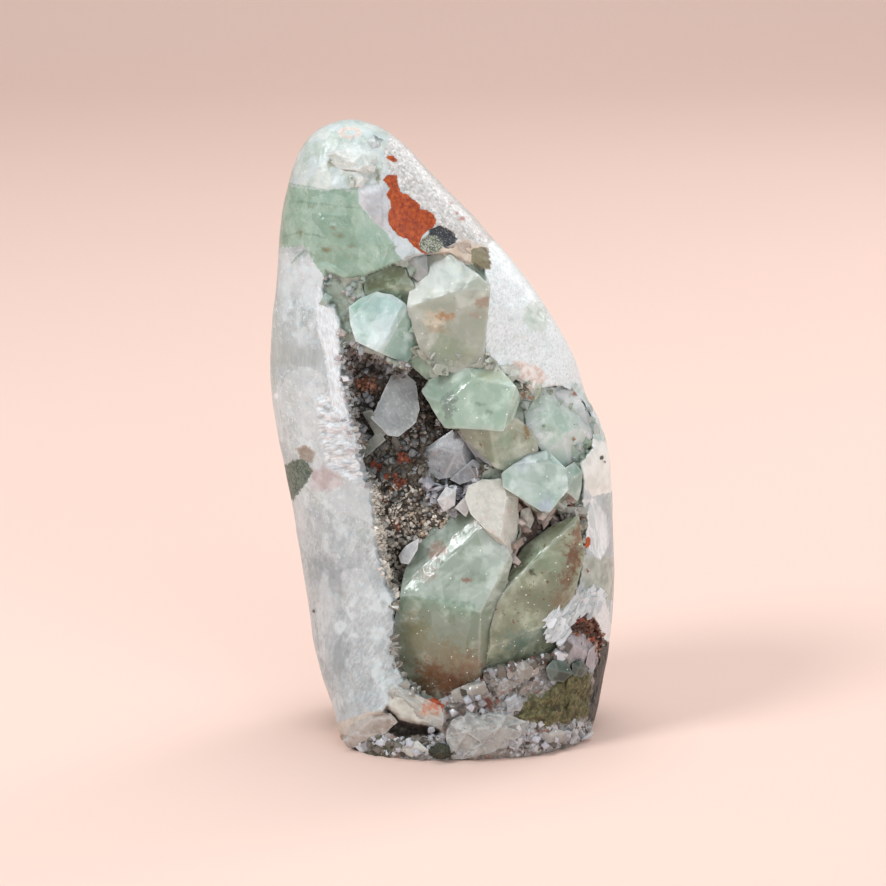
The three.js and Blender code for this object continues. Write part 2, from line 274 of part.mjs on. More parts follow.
// Everything in front of a rough floor that lies depth below the front skin.
function spaceAbove(depth, rough, step, outline) {
  const xs = outline.map((p) => p[0]);
  const zs = outline.map((p) => p[1]);
  const x0 = Math.min(...xs) - 3;
  const x1 = Math.max(...xs) + 3;
  const z0 = Math.min(...zs) - 2 - 8;
  const z1 = Math.max(...zs) + 10;
  const nx = Math.ceil((x1 - x0) / step);
  const nz = Math.ceil((z1 - z0) / step);
  const vertices = [];
  const faces = [];
  const row = nx + 1;
  const count = row * (nz + 1);
  for (let layer = 0; layer < 2; layer++)
    for (let i = 0; i <= nz; i++)
      for (let j = 0; j <= nx; j++) {
        const x = x0 + ((x1 - x0) * j) / nx;
        const z = z0 + ((z1 - z0) * i) / nz;
        const wave =
          Math.sin(0.71 * x + 0.43 * z + 1.3) * 0.5 +
          Math.sin(-0.37 * x + 0.83 * z + 0.4) * 0.4 +
          Math.sin(1.61 * x - 1.13 * z) * 0.3;
        vertices.push(x, layer ? frontSkin(x, z) + depth + rough * wave : -70, z);
      }
  for (let i = 0; i < nz; i++)
    for (let j = 0; j < nx; j++) {
      const a = i * row + j;
      const b = a + 1;
      const c = a + row + 1;
      const d = a + row;
      faces.push(a, b, c, a, c, d);
      faces.push(a + count, c + count, b + count, a + count, d + count, c + count);
    }
  const wall = (a, b) => faces.push(b, a, a + count, b, a + count, b + count);
  for (let j = 0; j < nx; j++) {
    wall(j, j + 1);
    wall(nz * row + j + 1, nz * row + j);
  }
  for (let i = 0; i < nz; i++) {
    wall((i + 1) * row, i * row);
    wall(i * row + nx, (i + 1) * row + nx);
  }
  return new Manifold(
    new Mesh({
      numProp: 3,
      vertProperties: Float32Array.from(vertices),
      triVerts: Uint32Array.from(faces),
    }),
  );
}

function hollow(outline, depth, rough, step) {
  return spaceAbove(depth, rough, step, outline).intersect(sweep(outline, -60, 30));
}

function hull(points) {
  return toManifold(new ConvexGeometry(points.map((p) => new THREE.Vector3(...p))));
}

// The same convex form grown by the socket clearance; a form that stands at the
// foot leaves its socket open below.
function grown(points) {
  const out = [];
  const low = points.filter((p) => p[2] < 1.5).map((p) => [p[0], p[1], -1.5]);
  for (const p of points.concat(low))
    for (let k = 0; k < 3; k++)
      for (const s of [-SOCKET_GAP, SOCKET_GAP]) {
        const q = p.slice();
        q[k] += s;
        out.push(q);
      }
  return hull(out);
}

// ---- assembly ------------------------------------------------------------
let matrix = stone();
matrix = matrix.subtract(hollow(CRYSTAL_FIELD, FIELD_DEPTH, 0.7, 4.0));
matrix = matrix.subtract(hollow(VUG, VUG_DEPTH, 1.1, 3.4));
matrix = matrix.subtract(hollow(GAP, GAP_DEPTH, 0.8, 3.4));
matrix = matrix.subtract(hollow(FOOT_DRUSE, FOOT_DEPTH, 0.8, 3.4));
matrix = matrix.subtract(hollow(FOOT_HOLLOW, FOOT_HOLLOW_DEPTH, 0.5, 2.6));
matrix = matrix.subtract(hollow(ARCH_HOLLOW, ARCH_HOLLOW_DEPTH, 0.5, 2.6));

const part = new THREE.Group();
part.name = "zeolite";
let taken = null; // grown forms of the crystals placed so far
const solids = [];
for (const [name, members, colour, roughness] of GROUPS) {
  let solid = hull(CRYSTALS[members[0]]);
  let socket = grown(CRYSTALS[members[0]]);
  for (const m of members.slice(1)) {
    solid = solid.add(hull(CRYSTALS[m]));
    socket = socket.add(grown(CRYSTALS[m]));
  }
  if (taken) solid = largest(solid.subtract(taken));
  taken = taken ? taken.add(socket) : socket;
  matrix = matrix.subtract(socket);
  solids.push([name, solid.simplify(0.02), colour, roughness]);
}
matrix = largest(matrix.simplify(0.1));

function place(name, solid, colour, roughness) {
  const mesh = new THREE.Mesh(
    toGeometry(solid),
    new THREE.MeshStandardMaterial({ color: colour, roughness, metalness: 0, flatShading: true }),
  );
  mesh.name = name;
  part.add(mesh);
}
place("matrix", matrix, 0xc3c5c1, 0.35);
for (const s of solids) place(...s);

export default part;
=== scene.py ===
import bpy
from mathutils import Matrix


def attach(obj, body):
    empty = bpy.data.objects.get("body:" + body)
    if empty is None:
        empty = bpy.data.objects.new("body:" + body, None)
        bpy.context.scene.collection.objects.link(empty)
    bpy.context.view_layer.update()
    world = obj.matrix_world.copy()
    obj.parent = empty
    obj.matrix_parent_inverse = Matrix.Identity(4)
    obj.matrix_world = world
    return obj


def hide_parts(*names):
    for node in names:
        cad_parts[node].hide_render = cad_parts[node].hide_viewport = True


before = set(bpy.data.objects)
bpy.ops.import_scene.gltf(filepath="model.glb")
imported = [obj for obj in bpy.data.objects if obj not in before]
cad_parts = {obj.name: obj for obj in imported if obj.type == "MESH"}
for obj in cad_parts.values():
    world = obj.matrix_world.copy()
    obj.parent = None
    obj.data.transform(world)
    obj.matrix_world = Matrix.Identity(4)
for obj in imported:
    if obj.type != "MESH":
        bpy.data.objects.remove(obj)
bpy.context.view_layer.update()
# Zeolite specimen: visual model. Row frame, metres; tables below are in millimetres.
import bpy, bmesh, math
import numpy as np
from mathutils import Vector

RNG = np.random.default_rng(41)
MM = 0.001

# ---------------------------------------------------------------- picture <-> space
TILT = math.radians(14.0)
SE, CE = math.sin(TILT), math.cos(TILT)
DIST, FPX, AIM = 900.0, 4086.0, 64.6

def P(u, v, y):
    """Point on the line of sight of picture position (u, v) at depth y, mm."""
    k = (443.0 - v) / FPX
    Z = (k * (y * CE + DIST) - y * SE) / (CE + k * SE)
    zc = y * CE + DIST - Z * SE
    return np.stack([(u - 443.0) / FPX * zc, y + 0 * zc, Z + AIM], -1)

def px(p):
    x, y, z = p[..., 0], p[..., 1], p[..., 2]
    zc = y * CE + DIST - (z - AIM) * SE
    yc = y * SE + (z - AIM) * CE
    return 443 + FPX * x / zc, 443 - FPX * yc / zc

# ---------------------------------------------------------------- noise
def _hash(ix, iy, iz, seed):
    a = (ix + 65536).astype(np.uint64) * np.uint64(374761393)
    b = (iy + 65536).astype(np.uint64) * np.uint64(668265263)
    c = (iz + 65536).astype(np.uint64) * np.uint64(1274126177)
    h = (a + b + c + np.uint64(seed * 974634777 % 4294967296)) & np.uint64(0xFFFFFFFF)
    h = ((h ^ (h >> np.uint64(13))) * np.uint64(1274126177)) & np.uint64(0xFFFFFFFF)
    h = ((h ^ (h >> np.uint64(16))) * np.uint64(2246822519)) & np.uint64(0xFFFFFFFF)
    h = h ^ (h >> np.uint64(15))
    return h.astype(np.float64) / 4294967295.0

def vnoise(p, freq, seed=0):
    """Smooth value noise, -1..1. p is (..., 3) in mm, freq in 1/mm (or a triple)."""
    q = p * np.asarray(freq, float)
    i = np.floor(q).astype(np.int64)
    f = q - i
    f = f * f * f * (f * (f * 6 - 15) + 10)
    out = 0.0
    for dx in (0, 1):
        wx = f[..., 0] if dx else 1 - f[..., 0]
        for dy in (0, 1):
            wy = f[..., 1] if dy else 1 - f[..., 1]
            for dz in (0, 1):
                wz = f[..., 2] if dz else 1 - f[..., 2]
                out = out + wx * wy * wz * _hash(i[..., 0] + dx, i[..., 1] + dy, i[..., 2] + dz, seed)
    return out * 2 - 1

def fbm(p, freq, octaves=4, seed=0, gain=0.5):
    s, a, t = 0.0, 1.0, 0.0
    fr = np.asarray(freq, float)
    for k in range(octaves):
        s = s + a * vnoise(p + 17.3 * k, fr * 2.03 ** k, seed + k)
        t += a
        a *= gain
    return s / t * 1.5

def worley(p, freq, seed=0):
    """Distance to the nearest and next feature point, and the nearest cell's random number."""
    q = p * float(freq)
    i = np.floor(q).astype(np.int64)
    f1 = np.full(q.shape[:-1], 9.0)
    f2 = np.full(q.shape[:-1], 9.0)
    ident = np.zeros(q.shape[:-1])
    for dx in (-1, 0, 1):
        for dy in (-1, 0, 1):
            for dz in (-1, 0, 1):
                c = i + np.array([dx, dy, dz])
                o = np.stack([_hash(c[..., 0], c[..., 1], c[..., 2], seed + k) for k in (1, 2, 3)], -1)
                d = np.sqrt((((c + o) - q) ** 2).sum(-1))
                near = d < f1
                f2 = np.where(near, f1, np.minimum(f2, d))
                ident = np.where(near, o[..., 0], ident)
                f1 = np.where(near, d, f1)
    return f1, f2, ident

def crust(x, z, size, seed, slope=1.0, flat=0.25, tilt=0.7):
    """Height in mm of a crust of crystal tips over a plane, and the random number of the tip on top."""
    qx, qz = x / size, z / size
    ix, iz = np.floor(qx).astype(np.int64), np.floor(qz).astype(np.int64)
    best = np.full(x.shape, -9.0)
    ident = np.zeros(x.shape)
    zero = np.zeros_like(ix)
    for dx in (-1, 0, 1):
        for dz in (-1, 0, 1):
            cx, cz = ix + dx, iz + dz
            r = [_hash(cx, cz, zero, seed + k) for k in range(7)]
            vx, vz = qx - (cx + r[0]), qz - (cz + r[1])
            a = r[2] * math.pi
            ux, uz = vx * np.cos(a) + vz * np.sin(a), -vx * np.sin(a) + vz * np.cos(a)
            d = np.maximum(np.abs(ux), np.abs(uz) * (0.55 + 0.6 * r[3]))
            h = 0.4 + 0.6 * r[4] - slope * np.maximum(d - flat * r[5], 0) + (ux * (r[6] - 0.5) + uz * (r[0] - 0.5)) * tilt
            near = h > best
            ident = np.where(near, r[5], ident)
            best = np.where(near, h, best)
    return best * size, ident

def smooth(x, lo, hi):
    t = np.clip((x - lo) / (hi - lo), 0, 1)
    return t * t * (3 - 2 * t)

def sdpoly(U, V, poly):
    """Signed distance to a closed outline, positive inside, in picture units; -20 well outside."""
    q = np.asarray(poly, float)
    out = np.full(U.shape, -20.0)
    m = (U > q[:, 0].min() - 20) & (U < q[:, 0].max() + 20) & (V > q[:, 1].min() - 20) & (V < q[:, 1].max() + 20)
    u, v = U[m], V[m]
    d = np.full(u.shape, 1e9)
    inside = np.zeros(u.shape, bool)
    for a, b in zip(q, np.roll(q, -1, axis=0)):
        ex, ey = b - a
        wx, wy = u - a[0], v - a[1]
        t = np.clip((wx * ex + wy * ey) / (ex * ex + ey * ey + 1e-12), 0, 1)
        d = np.minimum(d, (wx - ex * t) ** 2 + (wy - ey * t) ** 2)
        if abs(ey) > 1e-9:
            inside ^= ((v >= a[1]) != (v >= b[1])) & (u < a[0] + (v - a[1]) * ex / ey)
    out[m] = np.clip(np.where(inside, 1, -1) * np.sqrt(d), -20, 60)
    return out

# ---------------------------------------------------------------- body sections
HEIGHT = 136.6
SECTIONS = np.array([
    [0, -23.1, 33.2, 27.5, 22, 3.4, 2.3, 2.6],
    [2, -23.7, 34, 27.8, 23, 3.1, 2.2, 2.5],
    [5, -24.3, 34.7, 27.7, 23.8, 2.8, 2.15, 2.45],
    [8, -25.4, 35.2, 27.5, 24.2, 2.5, 2.1, 2.4],
    [11.5, -26.8, 35.8, 27.2, 24.5, 2.3, 2.05, 2.4],
    [16, -28.1, 36.7, 26.8, 24.6, 2.1, 2, 2.35],
    [20.5, -29, 37.2, 26.4, 24.6, 2, 1.95, 2.35],
    [27.5, -29.8, 37.8, 26, 24.5, 1.9, 1.9, 2.3],
    [33, -30.7, 38, 25.6, 24.3, 1.85, 1.85, 2.3],
    [40, -31.7, 37.9, 25.1, 24, 1.8, 1.8, 2.3],
    [47, -32.8, 37.6, 24.6, 23.5, 1.8, 1.8, 2.3],
    [53, -33.8, 37.4, 24.1, 23, 1.8, 1.8, 2.3],
    [57.5, -34.6, 37.1, 23.7, 22.5, 1.8, 1.8, 2.3],
    [63, -35.7, 36.5, 23.2, 22, 1.8, 1.8, 2.3],
    [68.7, -36.7, 34.8, 22.5, 21.3, 1.8, 1.8, 2.3],
    [75.5, -37.6, 31.4, 21.6, 20.4, 1.8, 1.85, 2.3],
    [82, -37.9, 29.5, 20.6, 19.5, 1.85, 1.85, 2.3],
    [88, -37.6, 26.7, 19.6, 18.5, 1.85, 1.85, 2.3],
    [94.5, -37.1, 22.9, 18.5, 17.3, 1.9, 1.9, 2.3],
    [99, -36.5, 19.9, 17.7, 16.4, 1.9, 1.9, 2.3],
    [105.7, -35.9, 14.8, 16.4, 15, 1.95, 1.9, 2.25],
    [111.2, -35.5, 10.1, 15.2, 13.7, 2, 1.9, 2.25],
    [115.6, -35, 6.3, 14.1, 12.6, 2, 1.95, 2.2],
    [120, -34.1, 1.9, 12.9, 11.3, 2, 2, 2.2],
    [123.8, -33.2, -1.6, 11.6, 10.1, 2, 2, 2.2],
    [127, -32.2, -4.5, 10.2, 8.9, 2, 2, 2.1],
    [129.5, -31.1, -6.8, 8.9, 7.8, 2, 2, 2.1],
    [131.8, -29.6, -9.1, 7.5, 6.6, 2, 2, 2],
    [133.4, -28.2, -11.2, 6.2, 5.5, 2, 2, 2],
    [134.8, -26.2, -13.4, 4.6, 4.1, 2, 2, 2],
    [135.9, -23.5, -16.3, 2.7, 2.4, 2, 2, 2],
    [136.6, -20, -20, 0, 0, 2, 2, 2],
])
_Q = np.sqrt(np.maximum(HEIGHT - SECTIONS[:, 0], 0))[::-1]

def section(col, z):
    q = np.sqrt(np.maximum(HEIGHT - z, 0))
    vs = SECTIONS[::-1, col]
    i = np.clip(np.searchsorted(_Q, q) - 1, 0, len(_Q) - 2)
    m = np.gradient(vs, _Q)
    h = _Q[i + 1] - _Q[i]
    t = (q - _Q[i]) / h
    return ((2 * t**3 - 3 * t**2 + 1) * vs[i] + (t**3 - 2 * t**2 + t) * h * m[i]
            + (-2 * t**3 + 3 * t**2) * vs[i + 1] + (t**3 - t**2) * h * m[i + 1])

def skin_y(x, z):
    """Depth of the polished front skin at x, z."""
    z = np.clip(z, 0, HEIGHT - 0.05)
    l, r, F = section(1, z), section(2, z), section(3, z)
    t = (x - (l + r) / 2) / ((r - l) / 2)
    p = np.where(t < 0, section(5, z), section(6, z))
    return -F * np.maximum(0, 1 - np.abs(np.clip(t, -1, 1)) ** p) ** (1 / p)

# ---------------------------------------------------------------- outlines on the front, picture units
VUG = [(341,343),(353,340),(362,346),(378,352),(392,362),(402,363),(409,347),(413,330),(421,338),(433,352),(441,366),(447,373),(452,390),(462,410),(463,429),(485,433),(493,466),(480,472),(483,482),(476,492),(486,507),(488,520),(466,541),(440,563),(410,592),(398,602),(389,588),(384,578),(379,560),(377,545),(375,525),(372,505),(369,492),(364,475),(359,458),(355,440),(350,420),(345,400),(341,385),(339,370)]
FIELD = [(325,270),(345,278),(365,275),(398,262),(415,255),(430,254),(455,256),(485,268),(488,290),(484,340),(483,362),(500,370),(530,385),(545,392),(565,390),(585,402),(594,425),(592,448),(580,465),(583,478),(583,500),(588,520),(583,555),(580,585),(553,612),(556,650),(530,656),(505,662),(484,668),(478,680),(455,692),(440,698),(425,700),(412,690),(403,680),(398,665),(395,655),(398,640),(398,625),(396,615),(393,600),(389,588),(384,578),(379,560),(377,545),(375,525),(372,505),(369,492),(364,475),(359,458),(355,440),(350,420),(345,400),(341,385),(339,370),(341,345),(338,325),(335,306),(327,303),(322,290)]
GAP = [(507,494),(516,492),(538,509),(549,513),(566,492),(579,500),(577,517),(562,532),(545,548),(527,568),(506,590),(500,575),(512,552),(518,530)]
FOOT = [(380,712),(390,706),(393,711),(400,718),(425,723),(441,727),(443,712),(438,695),(452,688),(475,677),(486,663),(505,657),(543,648),(557,645),(549,625),(557,611),(575,608),(595,615),(602,640),(601,660),(597,690),(592,712),(596,745),(585,765),(550,780),(525,785),(490,790),(440,790),(415,790),(390,790),(360,785),(330,765),(334,735),(348,735),(362,724),(370,716)]
CAVE = [(382,712),(390,706),(393,711),(400,718),(425,723),(441,727),(444,734),(436,741),(424,738),(410,742),(398,739),(386,733),(380,722)]
ARCHHOLE = [(571,622),(580,613),(592,614),(600,625),(602,645),(594,655),(590,640),(583,634),(572,635)]

ZONES = {
 "green": [(262,180),(290,183),(310,187),(330,190),(345,189),(358,187),(360,205),(366,213),(374,222),(385,230),(391,238),(395,247),(399,258),(402,268),(392,276),(380,282),(365,286),(345,290),(330,285),(322,272),(313,262),(309,250),(305,246),(280,248),(262,252)],
 "paletop": [(255,186),(290,184),(330,191),(358,188),(368,183),(383,172),(392,140),(388,115),(368,100),(320,100),(262,150)],
 "lilac": [(360,190),(372,186),(384,183),(390,193),(391,205),(388,218),(391,228),(394,236),(385,231),(374,222),(366,213),(360,205)],
 "sugary": [(386,118),(396,112),(440,140),(520,240),(510,262),(488,246),(470,243),(455,247),(440,226),(430,214),(419,206),(408,194),(398,183),(396,174),(389,172),(384,160),(382,148),(388,138)],
 "orange": [(383,180),(389,174),(397,174),(398,184),(401,190),(409,196),(417,201),(420,209),(429,211),(437,218),(434,227),(425,232),(421,240),(422,248),(431,254),(424,254),(413,246),(408,239),(398,235),(390,227),(387,217),(391,208),(390,200),(386,194),(390,188)],
 "orange_b": [(386,158),(389,155),(393,155),(397,158),(397,161),(393,162),(389,160)],
 "black": [(428,229),(440,227),(452,231),(458,240),(453,249),(444,248),(437,242),(429,239)],
 "speck": [(420,241),(427,234),(437,236),(443,244),(439,252),(428,253),(421,249)],
 "beige": [(430,253),(443,246),(455,242),(468,241),(480,245),(489,247),(490,270),(477,266),(462,262),(445,257)],
 "oliveface": [(470,250),(480,247),(490,248),(490,269),(478,268),(471,262)],
 "silky": [(490,242),(503,236),(640,330),(612,394),(584,384),(565,388),(545,390),(525,378),(505,369),(485,367),(481,362),(484,340),(486,300),(488,287),(485,270),(488,255)],
 "silkgreen": [(527,308),(536,303),(546,308),(548,322),(540,332),(529,330),(524,320)],
 "pinkpatch": [(505,366),(515,361),(530,363),(541,369),(546,380),(538,389),(522,388),(508,385),(502,376)],
 "bluish": [(540,388),(560,384),(585,384),(600,394),(640,400),(640,440),(604,440),(592,440),(578,445),(574,462),(560,456),(540,440),(530,410)],
 "cream": [(577,440),(590,437),(604,442),(640,446),(640,488),(606,494),(592,496),(582,486),(577,468),(575,452)],
 "rimgreen": [(585,560),(600,556),(640,560),(640,600),(604,600),(588,592),(580,580)],
 "rimcurve": [(578,500),(596,498),(606,515),(608,545),(600,560),(590,552),(584,530)],
 "orange_c": [(583,540),(590,537),(592,545),(586,549)],
 "celadon": [(262,462),(288,464),(297,459),(308,461),(313,472),(307,483),(300,491),(294,500),(264,500)],
 "slabbrown": [(297,449),(306,446),(315,452),(312,462),(300,463)],
 "slabpink": [(309,470),(325,468),(340,474),(343,484),(330,491),(312,491)],
 "ribbon": [(319,284),(327,303),(335,308),(338,325),(341,348),(340,370),(345,395),(350,415),(353,436),(346,434),(338,420),(331,398),(327,372),(321,345),(317,318),(315,298)],
 "band": [(255,340),(280,342),(300,345),(322,352),(323,366),(300,367),(280,366),(255,364)],
 "ribs": [(316,398),(326,388),(333,402),(342,425),(351,440),(358,455),(364,478),(352,482),(340,474),(330,470),(322,450),(318,425)],
 "slabend": [(389,686),(404,690),(411,692),(420,697),(432,702),(441,707),(444,716),(441,729),(425,725),(410,721),(400,719),(393,712),(388,706)],
 "orange_d": [(424,702),(434,697),(443,704),(441,713),(431,711)],
 "olive": [(515,716),(524,704),(531,694),(541,697),(549,688),(560,680),(571,671),(581,676),(590,672),(594,690),(590,702),(593,716),(578,719),(570,727),(556,722),(545,728),(533,722),(524,724)],
 "edge": [(592,640),(603,632),(640,640),(640,735),(603,728),(588,722),(590,700),(595,680),(593,660)],
 "hollow": [(571,622),(580,613),(592,614),(600,625),(603,645),(596,660),(590,642),(583,636),(572,636)],
 "arch": [(552,612),(560,601),(575,595),(592,593),(606,602),(612,625),(610,642),(602,642),(600,624),(591,613),(579,613),(571,621),(572,636),(561,640),(551,628)],
 "creamfoot": [(330,725),(350,718),(365,713),(378,710),(388,713),(390,722),(382,732),(368,736),(355,746),(340,748),(325,740)],
 "darkfoot": [(352,740),(366,731),(384,734),(392,748),(386,768),(356,768)],
 "redfoot": [(480,700),(487,696),(494,702),(492,710),(484,711)],
}

